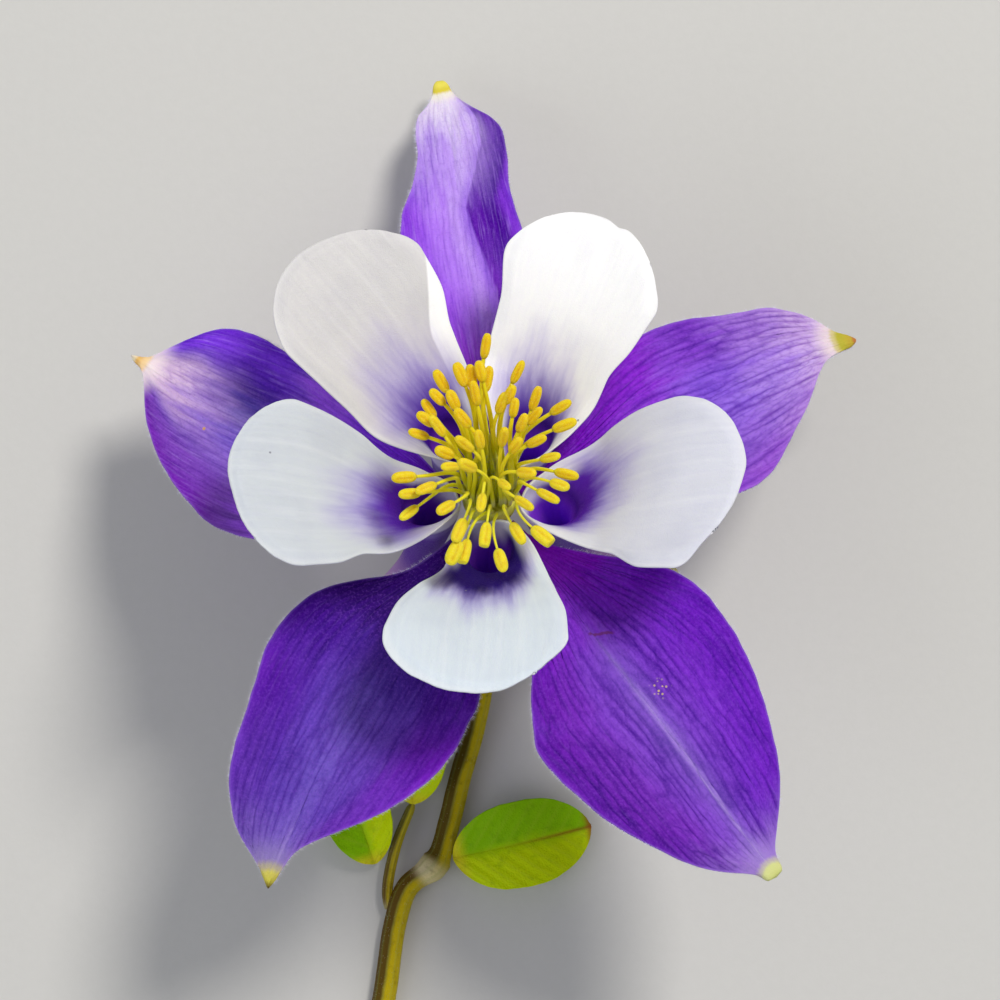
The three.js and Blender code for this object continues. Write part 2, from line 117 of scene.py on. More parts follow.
# Clock angles along a sepal, its reach, how deep its relief is, how blunt its tip is, and its half
# widths at the other stations on its counterclockwise and its clockwise side. curl bends it more.
SEPALS = {
    "top": dict(
        clock=(0, -2, -5, -6.2), reach=50.5, curl=0.07, relief=0.45, blunt=2.2,
        left=[1.3, 2.2, 3.6, 5.2, 6.8, 7.9, 7.2, 5.9, 4.9, 4.1, 3.6, 3.55, 3.0, 1.8, 1.2, 0.85],
        right=[1.3, 2.2, 3.6, 5.0, 5.9, 6.2, 5.7, 5.4, 5.55, 5.85, 5.8, 5.05, 3.3, 2.1, 1.4, 0.95],
    ),
    "right": dict(
        clock=(71, 66, 60, 62), reach=43.0, relief=1.0, blunt=1.3,
        left=[1.3, 2.2, 3.8, 6.3, 8.4, 9.1, 8.5, 7.9, 7.25, 6.85, 6.45, 5.6, 4.2, 2.8, 1.8, 0.9],
        right=[1.3, 2.3, 4.2, 8.0, 10.7, 11.5, 10.2, 8.9, 7.5, 6.1, 4.4, 2.5, 1.1, 0.8, 0.7, 0.55],
    ),
    "lower_right": dict(
        clock=(144, 144.5, 144, 143.2), reach=47.0, relief=1.2, blunt=3,
        left=[1.4, 2.7, 5.6, 9.8, 11.4, 11.5, 10.55, 9.95, 9.15, 8.2, 7.05, 5.6, 3.7, 2.4, 1.55, 1.1],
        right=[1.3, 2.2, 4.0, 6.4, 10.0, 12.4, 12.0, 11.4, 10.5, 9.3, 7.95, 6.65, 4.9, 3.5, 2.4, 1.2],
    ),
    "lower_left": dict(
        clock=(215, 212, 213, 209.3), reach=44.5, relief=0.8, blunt=1.15,
        left=[1.3, 2.4, 4.6, 8.5, 11.0, 11.35, 10.55, 9.9, 8.75, 7.1, 5.1, 2.95, 1.2, 0.8, 0.65, 0.4],
        right=[1.2, 1.7, 3.0, 7.6, 10.3, 10.75, 9.9, 9.4, 8.95, 8.6, 7.95, 6.8, 5.1, 3.5, 2.2, 0.9],
    ),
    "left": dict(
        clock=(288, 283, 288, 296.4), reach=41.5, relief=0.7, blunt=1.4,
        left=[1.3, 2.3, 4.6, 8.9, 11.4, 12.3, 11.25, 10.2, 9.0, 7.55, 6.05, 4.3, 2.2, 1.0, 0.5, 0.35],
        right=[1.4, 2.6, 3.7, 4.4, 5.6, 7.2, 8.4, 8.65, 8.7, 8.6, 8.2, 7.1, 4.8, 2.7, 1.1, 0.4],
    ),
}

SEAT_BASE = -4.9
SEAT_PROFILE = [  # radius and height over its base
    (1.25, 0.0), (1.35, 0.15), (1.9, 0.9), (2.45, 1.7), (2.65, 2.4), (2.78, 3.2), (2.8, 3.6),
    (2.78, 4.0), (2.7, 4.5), (2.66, 4.8), (2.5, 5.0), (2.2, 5.12), (1.4, 5.2), (0.5, 5.22),
]
CARPELS = 5
CARPEL_RING = 1.03
CARPEL_HEIGHT = 11.5
PISTIL_PROFILE = [
    (0.34, 0.0), (0.42, 0.3), (0.5, 1.0), (0.55, 2.0), (0.53, 3.0), (0.47, 4.0), (0.38, 5.0),
    (0.27, 5.8), (0.19, 6.6), (0.15, 7.6), (0.13, 9.0), (0.12, 10.2), (0.14, 10.9),
    (0.17, 11.2), (0.12, CARPEL_HEIGHT),
]

# Where each anther shows, right of and above the middle of the face, from straight above. The
# first ones are the frame's own, and the others fill the tuft up to the number a flower has.
ANTHERS = [
    (-0.4, 14.2), (-0.9, 11.8), (2.7, 11.6), (2.0, 9.5), (-1.4, 9.5), (-2.8, 11.3), (-4.7, 10.7),
    (-3.6, 9.0), (-6.0, 8.2), (-5.0, 6.3), (-7.0, 5.6), (-2.6, 7.1), (-4.4, 3.8), (-2.1, 2.5),
    (-8.3, 1.4), (-6.2, 0.3), (-7.9, -2.1), (2.6, 4.6), (4.4, 9.0), (3.2, 6.8), (6.9, 8.2),
    (7.2, 6.4), (4.6, 4.9), (5.9, 3.3), (7.4, 1.7), (3.6, 1.8), (1.5, 0.6), (3.3, -1.1),
    (-2.9, -3.7), (-3.4, -5.9), (-0.4, -4.1), (1.1, -6.7), (2.7, -4.0), (5.0, -4.2),
    (-2.4, 4.6), (-0.8, -1.2), (5.6, -0.4), (-4.3, -1.6),
]
MORE_ANTHERS = [
    (-0.2, 10.9), (2.4, 8.3), (1.2, 8.6), (-5.2, 9.3), (-1.8, 11.2), (-6.3, 7.1), (-3.9, 2.4),
    (-7.8, -0.2), (4.4, 7.4), (6.9, 0.6), (-2.4, -5.7), (1.3, 5.2), (-1.0, 5.2),
]
STAMEN_LENGTH = 16.0
STAMEN_SLOPE = 0.12
STAMEN_RINGS = [(16, 1.85), (22, 2.35)]  # how many feet, and how far from the axis
MORE_STAMENS_RING = 2.1
STAMEN_FOOT = 0.3
TUFT_MIDDLE = 2.0
ANTHER_NOD = ((1.0, 5.0, 9.0), (38, 58, 74))  # by distance from the tuft's middle, in degrees
ANTHER_LENGTH = 2.6
ANTHER_HALVES = (0.62, 0.5, 0.5 * ANTHER_LENGTH)
FRONT_ANTHERS = (-1.5, 2.0)  # where the larger ones of the front start, and over how far
RIPE_ANTHERS = (-3.5, 10.5)  # where they start to be ripe, and over how far

STEM_LINE = [
    (-19.5, -96, 1.25), (-16.6, -78, 1.25), (-13.6, -64, 1.25), (-11.4, -54, 1.25),
    (-10.2, -46, 1.4), (-8.9, -42.2, 1.65), (-5.9, -39.6, 1.6), (-4.5, -35.5, 1.3),
    (-3.3, -30.6, 1.3), (-1.9, -25.6, 1.6), (-0.9, -20.6, 2.8), (-0.4, -14.6, 5.6),
    (-0.1, -9.8, 9.9),
]
STEM_RADIUS = 1.25
STEM_NODE = (0.42, 1.6, 0.02)  # share of the length, radius and spread
STEM_SEAT = -5.2
SIDE_STALK_LINE = [(-11.15, -44.6, 1.3), (-10.95, -41.5, 1.6), (-10.0, -37.4, 2.1), (-8.35, -33.25, 2.6)]
SIDE_STALK_WIDTHS = ((0, 0.06, 0.16, 0.3, 0.94, 1), (0.2, 0.42, 0.58, 0.6, 0.5, 0.3))
LEAFLET_FOLD = 0.25
LEAFLETS = {
    "right": dict(start=(-4.0, -39.05, 1.9), end=(10.7, -35.7, 1.4), arch=1.5, width=4.6),
    "left": dict(start=(-12.4, -39.7, 1.6), end=(-16.4, -27.4, 1.4), arch=1.5, width=3.6),
    "middle": dict(start=(-8.3, -33.2, 2.95), end=(-7.4, -20.6, 3.6), arch=1.2, width=3.4),
}

# ---- meshes: rows and columns of the sheets, their thickness, hairs and seeds ----
SEPAL_COLUMNS = 150
SEPAL_ROWS = 150
SEPAL_THICKNESS = 1.0
TIP_KNOB = 2.1  # how far from its tip a sepal turns into a small knob
PETAL_COLUMNS = 90
SPUR_ROWS = 44
FLANK_ROWS = 62
END_ROWS = 32
PETAL_THICKNESS = 0.42
PETAL_VEINS = 11
LEAFLET_COLUMNS = 72
LEAFLET_ROWS = 90
LEAFLET_THICKNESS = 0.5
LEAFLET_VEIN_SPACING = 1.9
FRINGE_HAIRS = 1500
FRINGE_RADIUS = 0.018
HAIR_RADIUS = 0.014
# How many hairs, how long they are, and where on the piece and how steep they may stand.
PISTIL_DOWN = dict(count=260, lengths=(0.14, 0.3), levels=(0.3, 6.2), steepness=("uniform", 0.3, 1.0))
STEM_DOWN = dict(count=2600, lengths=(0.17, 0.34), steepness=("normal", 0, 0.4))
BRACT_DOWN = dict(count=160, lengths=(0.13, 0.26), steepness=("normal", 0, 0.4))
SEEDS = dict(sepal=1, petal=21, leaflet=41, pistil_down=31, stem_down=5, bract_down=6, curves=7, stamens=12)

# ---- colours ----
# Stops are text: a place, a colour and, in some, how far it covers what lies below. A sepal has
# stops across it, from its counterclockwise margin at 0 to the other at 1; along it, from its root
# at 0 to its tip at 1; and round its tip, by millimetres from it. On some sepals the stops across
# and along hold painted shadow and painted light, as told at each one. drift is how far streaks
# carry the second ones, lines how much the veins darken, rib where the midrib starts to show and
# how far, threads how light the finest streaks are, which are partly painted glints, the slant how
# the first ones lean before and after the turn of the top sepal's painted shadow, to give that
# painted shadow its slanted edge, and fan where across the blade the second ones start and end near
# the tip. pollen is the place of a pinch of pollen, and scar that of a short brown scratch.
SEPAL_COLOURS = {
    # on the top sepal, the dark band across from .56 to .8 is a painted shadow, and the slant gives it a
    # slanted edge
    "top": dict(
        across="0 #8a3ce0, .12 #a25cf0, .28 #b882f8, .42 #c8a2fa, .53 #a877ee, .56 #6418b0, "
               ".8 #4c009c, .9 #8438d8, 1 #7028d0",
        along="0 #7a14c0 .9, .24 #9a34d0 .75, .4 #9a48dc .25, .6 #b49ae8 0, .76 #d4c0f4 .5, "
              ".92 #ece4f6 .9, 1 #ece4f6 .9",
        tip="0 #e0d450, 1 #ecdf60, 1.9 #dccb44, 2.3 #f2ecdc .9, 4 #f2e8f6 .3, 6 #e8dcf4 0",
        drift=0.2, lines=0.35, rib=(0.5, 0.15), threads=0.4, slant=(1.3, 2.8), fan=(-3, -2, 0.1, 1.1),
    ),
    # on the right sepal, the dark root along it is partly painted shade under the upper right petal, and the
    # pale far end is partly painted light
    "right": dict(
        across="0 #7a1fc0, .2 #8834d0, .4 #905ce2, .6 #9a70e6, .8 #9a68d8, 1 #9a4ccc",
        along="0 #5a0098, .2 #7a00bc .95, .42 #9020d4 .7, .58 #9a72e6 .2, .74 #bf9eea .55, "
              ".88 #d8bcea .85, 1 #ecd8e6",
        tip="0 #dc9870, .5 #bc7c40, .9 #c0a83c, 2.2 #bcb43c, 2.8 #d0c47c .9, 3.4 #ecdcdc .8, "
            "6 #ecd8ec 0",
        drift=0.22, lines=0.9, rib=(0.6, 0.0), threads=0.15,
    ),
    # on the lower right sepal, the bright magenta at the root along it is partly painted light, lifting the
    # shade that the right petal casts there
    "lower_right": dict(
        across="0 #7016c0, .12 #761cc8, .25 #7e2cce, .38 #8040cc, .5 #8252c8, .62 #844acc, "
               ".78 #7c2cbc, .9 #6c16ac, 1 #6810ac",
        along="0 #c41cf4 .9, .16 #a414dc .85, .27 #8414cc .7, .42 #7428bc .2, .8 #7c44c4 .15, "
              ".94 #9c7cd0 .7, 1 #9c7cd0 .7",
        tip="0 #d0d480, 1.3 #d4d890, 1.8 #c8c4a4 .7, 2.4 #b09cd0 .3, 6 #a080d0 0",
        drift=0.12, lines=1.0, rib=(0.24, 0.6), threads=0.06, pollen=(-0.18, 0.52), scar=(-0.06, 0.34),
    ),
    # on the lower left sepal, the dark stops at the root along it and towards its clockwise margin across it
    # are painted shadow of the petals above
    "lower_left": dict(
        across="0 #8014c8, .14 #7420bc, .3 #7048c0, .5 #785ec8, .66 #6844bc, .8 #581aa8, "
               ".92 #5a0aa6, 1 #6814b4",
        along="0 #30006c .95, .3 #30006c .95, .42 #400c8c .75, .56 #5838a8 .15, .78 #6c52b8 .35, "
              ".92 #846ec0 .7, 1 #9a8cc4 .8",
        tip="0 #5c4420, .5 #a89a3a, .9 #ccc250, 1.6 #ccc25c, 2.3 #b4ac80 .8, 3.2 #9c90b4 .4, "
            "6 #9080c0 0",
        drift=0.12, lines=0.7, rib=(0.76, 0.9), threads=0.06,
    ),
    # on the left sepal, the bright violet of the upper strip, from .8 across and from .24 to .46 along, is
    # partly painted light: glints, and a lift against the shade of the upper left petal
    "left": dict(
        across="0 #7420b0, .14 #8048bc, .28 #8460c4, .4 #7860cc, .5 #9884d4, .6 #5a48bc, "
               ".68 #4c20b0, .8 #6424cc, .9 #8440ec, 1 #6824d0",
        along="0 #6200b0, .24 #8c30f0 .8, .46 #b468ff .8, .6 #9c7ccc .15, .72 #c09cdc .55, "
              ".86 #ecd0e6 .85, 1 #f8e8e8 .95",
        tip="0 #fffaf0, .8 #fcecc8, 1.3 #f0c070, 2.2 #f4d4a0, 2.9 #fcecec .8, 6 #f4dce8 0",
        drift=0.3, lines=0.5, rib=(0.6, 0.0), threads=0.35, fan=(-0.62, -0.22, 0.2, 0.75),
    ),
}
TIP_ZONE = 6.0
# where along the top sepal the slanted edge of its painted shadow turns
SHADOW_TURN_AT = 0.64
SCAR_REACH = 47.0  # length of the sepal with the scar
SCAR_HALF = 9.0  # its half width there

# Each petal has its own white, painted lighter or darker for the light that falls on it: the upper
# right one is a painted sunlit white, the others are painted shade. Then come the shares of its
# blade at which the violet of its throat starts to fade, has turned to haze and is gone. tilt moves
# the violet to one side, lip is where the white lips by the axis start, which are also painted
# whiter against the shade there, shade darkens the violet of the throat, pleat is how deep the fine
# folds at the outer end are, in millimetres, and a strip, where given, is where a whiter, painted
# sunlit strip starts.
PETAL_COLOURS = {
    "upper_right": dict(
        white="#ffffff", core=0.13, haze=0.38, clear=0.64, tilt=-0.1, lip=0.5, shade="#d1ccde", pleat=0.02,
    ),
    "right": dict(
        white="#d8dae4", core=0.28, haze=0.38, clear=0.64, tilt=-0.12, lip=0.56, shade="#f9e8f4", pleat=0.02,
    ),
    "bottom": dict(
        white="#d6e0e8", core=0.42, haze=0.51, clear=0.68, tilt=0.08, lip=0.62, shade="#7f84a6", pleat=0.02,
    ),
    "left": dict(
        white="#ccd2d8", core=0.29, haze=0.43, clear=0.7, tilt=-0.09, lip=0.54, shade="#ffffff", pleat=0.05,
    ),
    "upper_left": dict(
        white="#d6d4d3", core=0.21, haze=0.42, clear=0.74, tilt=0.0, lip=0.5, shade="#d1ccde", pleat=0.02,
        bright=(0.65, 0.69),
    ),
}
LIP_WIDTH = 0.24
# on the outside, the darker violet stretch down the spur is partly painted shade
PETAL_OUTSIDE = (  # from the spur's knob at 0, over the mouth at a half, to the blade's end at 1
    "0 #a8a23c, .03 #b4aa48, .07 #c0a070, .14 #b890c4, .3 #5c2ca0, .42 #54249c, .475 #8068b8, "
    ".5 #e4e0ee, .6 #f0eef4, 1 #f0eff4"
)
FILAMENT = "0 #ffffff 0, .3 #f2ee20, .6 #f4ee38, .85 #f4e83c, 1 #f6e43c"
PISTIL_SHADE = "#e0e414"
PISTIL = "0 #f4f830 .8, .5 #f8f828 .8, .62 #fcf850 .9, 1 #fcf870"
BRACT_STALK = "0 #c0b488 .7, .12 #7a5a30 .35, 1 #8a8a34 .4"


def linear(text):
    """A colour as red, green and blue in linear light, from its usual six digits."""
    parts = [int(text[i:i + 2], 16) / 255 for i in (1, 3, 5)]
    return [c / 12.92 if c <= 0.04045 else ((c + 0.055) / 1.055) ** 2.4 for c in parts]


def rgba(colour):
    """A colour for a node's socket, from its six digits or its red, green and blue."""
    return (*(linear(colour) if isinstance(colour, str) else colour), 1)


# ---- curves and surfaces ----
def smooth(x):
    x = np.clip(x, 0, 1)
    return x * x * (3 - 2 * x)


def hill(x, middle, width):
    """One at the middle, falling off smoothly on both sides."""
    return np.exp(-(((x - middle) / width) ** 2))


def unit(v):
    return v / np.maximum(np.linalg.norm(v, axis=-1, keepdims=True), 1e-12)


def scaled(v, amount):
    return v * np.asarray(amount)[..., None]


def through(stations, values, at):
    """A smooth line through values given at stations, with no overshoot."""
    s, v, at = (np.asarray(a, float) for a in (stations, values, at))
    slope = np.diff(v) / np.diff(s)
    product = slope[:-1] * slope[1:]
    total = np.where(product > 0, slope[:-1] + slope[1:], 1)
    inner = np.where(product > 0, 2 * product / total, 0)
    tangent = np.concatenate([slope[:1], inner, slope[-1:]])
    i = np.clip(np.searchsorted(s, at) - 1, 0, len(slope) - 1)
    width = s[i + 1] - s[i]
    x = np.clip((at - s[i]) / width, 0, 1)
    start = (1 + 2 * x) * (1 - x) ** 2 * v[i] + x * (1 - x) ** 2 * width * tangent[i]
    end = x * x * (3 - 2 * x) * v[i + 1] + x * x * (x - 1) * width * tangent[i + 1]
    return start + end


def evened(line, reach):
    """A line of even steps with its bends evened out over a number of steps."""
    window = np.hanning(2 * reach + 1)
    padded = np.pad(line, reach, "reflect", reflect_type="odd")
    return np.convolve(padded, window / window.sum(), "valid")


def rounded(stations, values, at, blunt):
    """As through, but with no corners, and an end from pointed, at 1, to round, at 2, to square."""
    even = np.linspace(0, 1, 401)
    line = through(stations, values, np.minimum(even, stations[-1]))
    near_tip = smooth((even - 0.72) / 0.12)
    softer = evened(line, 30) * (1 - near_tip) + evened(line, 9) * near_tip
    beyond = np.clip((at - stations[-1]) / (1 - stations[-1]), 0, 1)
    return np.interp(at, even, softer) * (1 - beyond ** blunt) ** (1 / blunt)


def bezier(corners, share):
    """Points of a curve and its directions, at shares from 0 to 1."""
    t = np.atleast_1d(np.asarray(share, float))[:, None]
    level = [np.broadcast_to(np.asarray(c, float), (len(t), 3)) for c in corners]
    while len(level) > 2:
        level = [a + (b - a) * t for a, b in zip(level, level[1:])]
    first, last = level
    return first + (last - first) * t, unit(last - first)


def centripetal(corners, steps):
    """A smooth line through all corners, with the same number of points in each stretch."""
    c = np.asarray(corners, float)
    c = np.vstack([2 * c[0] - c[1], c, 2 * c[-1] - c[-2]])
    points = []
    for p0, p1, p2, p3 in zip(c, c[1:], c[2:], c[3:]):
        d0, d1, d2 = (math.sqrt(np.linalg.norm(b - a)) for a, b in ((p0, p1), (p1, p2), (p2, p3)))
        t1 = ((p1 - p0) / d0 - (p2 - p0) / (d0 + d1) + (p2 - p1) / d1) * d1
        t2 = ((p2 - p1) / d1 - (p3 - p1) / (d1 + d2) + (p3 - p2) / d2) * d1
        for x in np.arange(steps) / steps:
            shape = (2 * p1 - 2 * p2 + t1 + t2) * x + (3 * p2 - 3 * p1 - 2 * t1 - t2)
            points.append((shape * x + t1) * x + p1)
    points.append(c[-2])
    return np.array(points)


def steps_of(line):
    """The length of each step of a line."""
    return np.linalg.norm(np.diff(line, axis=0), axis=1)


def on_face(clock, radius, height):
    """A point of the flower's own frame, from its clock angle, distance and height."""
    angle = math.radians(clock)
    return np.array([radius * math.sin(angle), radius * math.cos(angle), height])


def leaned(points):
    """Turns points or directions of the flower's frame the way the whole flower leans."""
    x, y, z = np.moveaxis(np.asarray(points, float), -1, 0)
    cos, sin = math.cos(math.radians(FACE_LEAN)), math.sin(math.radians(FACE_LEAN))
    return np.stack([x, y * cos + z * sin, z * cos - y * sin], -1)


def face_centre():
    """The middle of the face in the row frame, in metres, from the receptacle's box."""
    low, high = (np.array(corner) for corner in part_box("receptacle"))
    radius, drop = RECEPTACLE_RIM
    top = leaned([0, -radius, drop])[2]
    back = leaned([0, radius, drop])[1]
    return np.array([(low[0] + high[0]) / 2, high[1] - back * MM, high[2] - top * MM])


FACE = face_centre()
GROUND = FACE - np.array([0, 0, FACE_HEIGHT * MM])


def from_flower(points):
    """From the flower's frame, in millimetres, to the row frame in metres."""
    return leaned(points) * MM + FACE


def from_table(points):
    """From millimetres over the table, under the middle of the face, to the row frame."""
    return np.asarray(points, float) * MM + GROUND


def blade_frame(along, clock):
    """The directions across a blade, to its clockwise side, and out of its front."""
    angle = np.radians(clock)
    across = np.stack([np.cos(angle), -np.sin(angle), 0 * angle], -1)
    across = unit(across - scaled(along, np.sum(across * along, -1)))
    return across, np.cross(across, along)


def on_section(point, across, front, curvature, aside, squeeze=1.0):
    """Points to the side of a curve, along a section bent to a curvature, and their normals."""
    angle = curvature * aside
    point = point + scaled(across, np.sin(angle) / curvature * squeeze)
    point = point + scaled(front, (1 - np.cos(angle)) / curvature)
    normal = scaled(front, np.cos(angle)) - scaled(across, np.sin(angle))
    return point, unit(normal)


def grain(x, y, seed):
    """Smooth noise from -1 to 1 over a flat pattern, another one for each seed."""
    return np.array([noise.noise((a, b, seed)) for a, b in zip(np.ravel(x), np.ravel(y))])


def ripple(x, seed):
    """A line that wavers around zero and repeats only after a long way."""
    return (np.sin(x + seed) + 0.6 * np.sin(2.3 * x + 1.7 * seed) + 0.4 * np.sin(4.1 * x)) / 2


def vein_pattern(number, along, seed):
    """How deep the veins lie: wavering lines, a loose net between them and finer ones."""
    wavering = number + 0.8 * grain(number * 0.3, along * 0.09, seed)
    wavering = wavering + 0.4 * grain(number * 0.9, along * 0.3, seed + 5)
    wavering = wavering + 0.12 * grain(number * 2.1, along * 0.9, seed + 6)
    line = np.round(wavering)
    width = 0.27 + 0.12 * grain(line * 5.1, along * 0.1, seed + 1)
    whole = smooth(0.6 + 1.5 * grain(line * 3.7, along * 0.13, seed + 9))
    main = hill(wavering, line, width) * (0.2 + 0.8 * whole)
    patchy = smooth(0.5 + 1.3 * grain(number * 0.23, along * 0.08, seed + 21))
    net = hill(grain(number * 0.6, along * 0.24, seed + 20), 0, 0.1) * patchy
    fine = hill(grain(number * 1.5, along * 0.8, seed + 30), 0, 0.12)
    return 1 - (1 - 0.8 * main) * (1 - 0.6 * net) * (1 - 0.35 * fine)


# ---- making and finishing meshes ----
def deselect():
    if bpy.context.object is not None and bpy.context.object.mode != "OBJECT":
        bpy.ops.object.mode_set(mode="OBJECT")
    bpy.ops.object.select_all(action="DESELECT")


def only(piece):
    deselect()
    piece.select_set(True)
    bpy.context.view_layer.objects.active = piece


def coordinates(piece):
    values = np.empty(len(piece.data.vertices) * 3)
    piece.data.vertices.foreach_get("co", values)
    return values.reshape(-1, 3)


def set_coordinates(piece, points):
    piece.data.vertices.foreach_set("co", np.asarray(points, np.float32).ravel())
    piece.data.update()


def mark(piece, name, *values):
    """Keeps a number or three for each vertex, for the materials to read."""
    mesh = piece.data
    kind, field = ("FLOAT", "value") if len(values) == 1 else ("FLOAT_VECTOR", "vector")
    attribute = mesh.attributes.get(name) or mesh.attributes.new(name, kind, "POINT")
    attribute.data.foreach_set(field, np.stack(values, -1).astype(np.float32).ravel())


def new_grid(name, columns, rows, material):
    """A flat grid, with the side from -1 to 1 and the row of each of its vertices."""
    deselect()
    bpy.ops.mesh.primitive_grid_add(x_subdivisions=columns, y_subdivisions=rows, size=1)
    piece = bpy.context.object
    piece.name = name
    piece.data.materials.append(material)
    flat = coordinates(piece)
    return piece, 2 * flat[:, 0], np.round((flat[:, 1] + 0.5) * rows)


def give_thickness(piece, thickness, share):
    """Makes a sheet a closed skin, of a share of the thickness at each vertex."""
    group = piece.vertex_groups.new(name="thickness")
    steps = np.round(np.clip(share, 0, 1) * 50).astype(int)
    for step in np.unique(steps):
        group.add(np.nonzero(steps == step)[0].tolist(), step / 50, "REPLACE")
    only(piece)
    bpy.ops.object.mode_set(mode="EDIT")
    bpy.ops.mesh.select_all(action="SELECT")
    bpy.ops.mesh.remove_doubles(threshold=0.0005 * MM)
    bpy.ops.object.mode_set(mode="OBJECT")
    front = len(piece.data.vertices)
    solidify = piece.modifiers.new("thickness", "SOLIDIFY")
    solidify.thickness = thickness * MM
    solidify.offset = 0
    solidify.vertex_group = group.name
    solidify.thickness_vertex_group = 0
    bpy.ops.object.modifier_apply(modifier=solidify.name)
    mark(piece, "back", np.arange(len(piece.data.vertices)) >= front)
    bpy.ops.object.shade_smooth()


def drawn_up(name, profile, sides, material):
    """An upright round piece, extruded from a disc ring by ring: radius and height of each."""
    deselect()
    radius, height = profile[0]
    bpy.ops.mesh.primitive_circle_add(
        vertices=sides, radius=radius, fill_type="NGON", location=(0, 0, height)
    )
    piece = bpy.context.object
    piece.name = name
    piece.data.materials.append(material)
    bpy.ops.object.mode_set(mode="EDIT")
    for next_radius, next_height in profile[1:]:
        rise = (0, 0, next_height - height)
        bpy.ops.mesh.extrude_region_move(TRANSFORM_OT_translate={"value": rise})
        grow = next_radius / radius
        bpy.ops.transform.resize(value=(grow, grow, 1), center_override=(0, 0, next_height))
        radius, height = next_radius, next_height
    bpy.ops.mesh.select_all(action="SELECT")
    bpy.ops.mesh.normals_make_consistent(inside=False)
    bpy.ops.object.mode_set(mode="OBJECT")
    bpy.ops.object.transform_apply(location=True, rotation=True, scale=True)
    bpy.ops.object.shade_smooth_by_angle(angle=math.radians(60))
    return piece


def along_line(points, up, share):
    """Places at shares of a line's length, and the directions to the side and to the front there."""
    steps = steps_of(points)
    shares = np.concatenate([[0], np.cumsum(steps)]) / steps.sum()
    tangents = unit(np.gradient(points, shares, axis=0))
    front = unit(np.asarray(up, float) - tangents[-1] * np.dot(up, tangents[-1]))
    fronts = [front]
    for tangent in tangents[-2::-1]:
        front = unit(front - tangent * np.dot(front, tangent))
        fronts.append(front)
    place, front, ahead = (
        np.stack([np.interp(share, shares, column) for column in rows.T], -1)
        for rows in (points, np.array(fronts[::-1]), tangents)
    )
    return place, np.cross(unit(front), unit(ahead)), unit(front)


def bend_along(piece, height, line, up):
    """Lays an upright piece along a line: its height becomes way along the line."""
    x, y, z = coordinates(piece).T
    middle, side, front = along_line(line, up, np.clip(z / height, 0, 1))
    mark(piece, "wrap", np.arctan2(x, y), z / height, 0 * z)
    set_coordinates(piece, middle + scaled(side, x * MM) + scaled(front, y * MM))


def copied(piece, name):
    """A copy of a piece, with a mesh of its own."""
    twin = piece.copy()
    twin.data = piece.data.copy()
    twin.name = name
    bpy.context.collection.objects.link(twin)
    return twin


def joined(piece, other):
    only(piece)
    other.select_set(True)
    bpy.ops.object.join()
    return piece


def fur(name, roots, tips, radius, material):
    """Fine hairs, each a slim closed spike from its root to its tip."""
    along = unit(tips - roots)
    away = unit(np.cross(along, np.where(np.abs(along[:, :1]) < 0.8, [[1, 0, 0]], [[0, 1, 0]])))
    third = np.cross(along, away)
    corners = [
        roots + radius * (math.cos(turn) * away + math.sin(turn) * third)
        for turn in (0, 2 * math.pi / 3, 4 * math.pi / 3)
    ]
    points = np.stack([*corners, tips], 1).reshape(-1, 3)
    sides = np.array([[0, 2, 1], [0, 1, 3], [1, 2, 3], [2, 0, 3]])
    faces = (4 * np.arange(len(roots))[:, None, None] + sides).reshape(-1, 3)
    mesh = bpy.data.meshes.new(name)
    mesh.from_pydata(points.tolist(), [], faces.tolist())
    mesh.materials.append(material)
    hairs = bpy.data.objects.new(name, mesh)
    bpy.context.collection.objects.link(hairs)
    return hairs


def down_round(name, profile, material, count, lengths, steepness, levels=None):
    """Short hairs all round an upright round piece, between two heights of it."""
    draw = np.random.default_rng(SEEDS[name])
    top = profile[-1][1]
    level = draw.uniform(*(levels or (0.01 * top, 0.99 * top)), count)
    turn = draw.uniform(0, 2 * math.pi, count)
    radius = np.interp(level, [z for _, z in profile], [r for r, _ in profile])
    kind, *spread = steepness
    out = unit(np.stack([np.cos(turn), np.sin(turn), getattr(draw, kind)(*spread, count)], -1))
    root = np.stack([radius * np.cos(turn), radius * np.sin(turn), level], -1)
    return fur(name, root, root + scaled(out, draw.uniform(*lengths, count)), HAIR_RADIUS, material)


def settle(piece, slot, *nodes):
    """Fixes a finished piece to the frame's body and hides the frame's nodes that it stands for."""
    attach(piece, BODY)
    if nodes:
        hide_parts(*nodes)


# ---- materials ----
class Varying:
    """A value or colour that varies over a surface. Sums with it add the nodes that they need."""

    def __init__(self, wiring, socket):
        self.wiring = wiring
        self.socket = socket

    def __add__(self, other):
        return self.wiring.math("ADD", self, other)

    def __sub__(self, other):
        return self.wiring.math("SUBTRACT", self, other)

    def __rsub__(self, other):
        return self.wiring.math("SUBTRACT", other, self)

    def __mul__(self, other):
        return self.wiring.math("MULTIPLY", self, other)

    def __truediv__(self, other):
        return self.wiring.math("DIVIDE", self, other)

    def __abs__(self):
        return self.wiring.math("ABSOLUTE", self)

    def fade(self, start, end, low=0.0, high=1.0):
        """From low to high, smoothly, as the value goes from start to end."""
        inputs = {0: self, 1: start, 2: end, 3: low, 4: high}
        return self.wiring.value("ShaderNodeMapRange", inputs, interpolation_type="SMOOTHSTEP")

    def to(self, colour, cover):
        """This colour, with another one over it."""
        return self.wiring.mix(cover, self, colour)

    def dyed(self, dye, cover):
        """This colour, darkened by a dye."""
        return self.wiring.mix(cover, self, dye, "MULTIPLY")


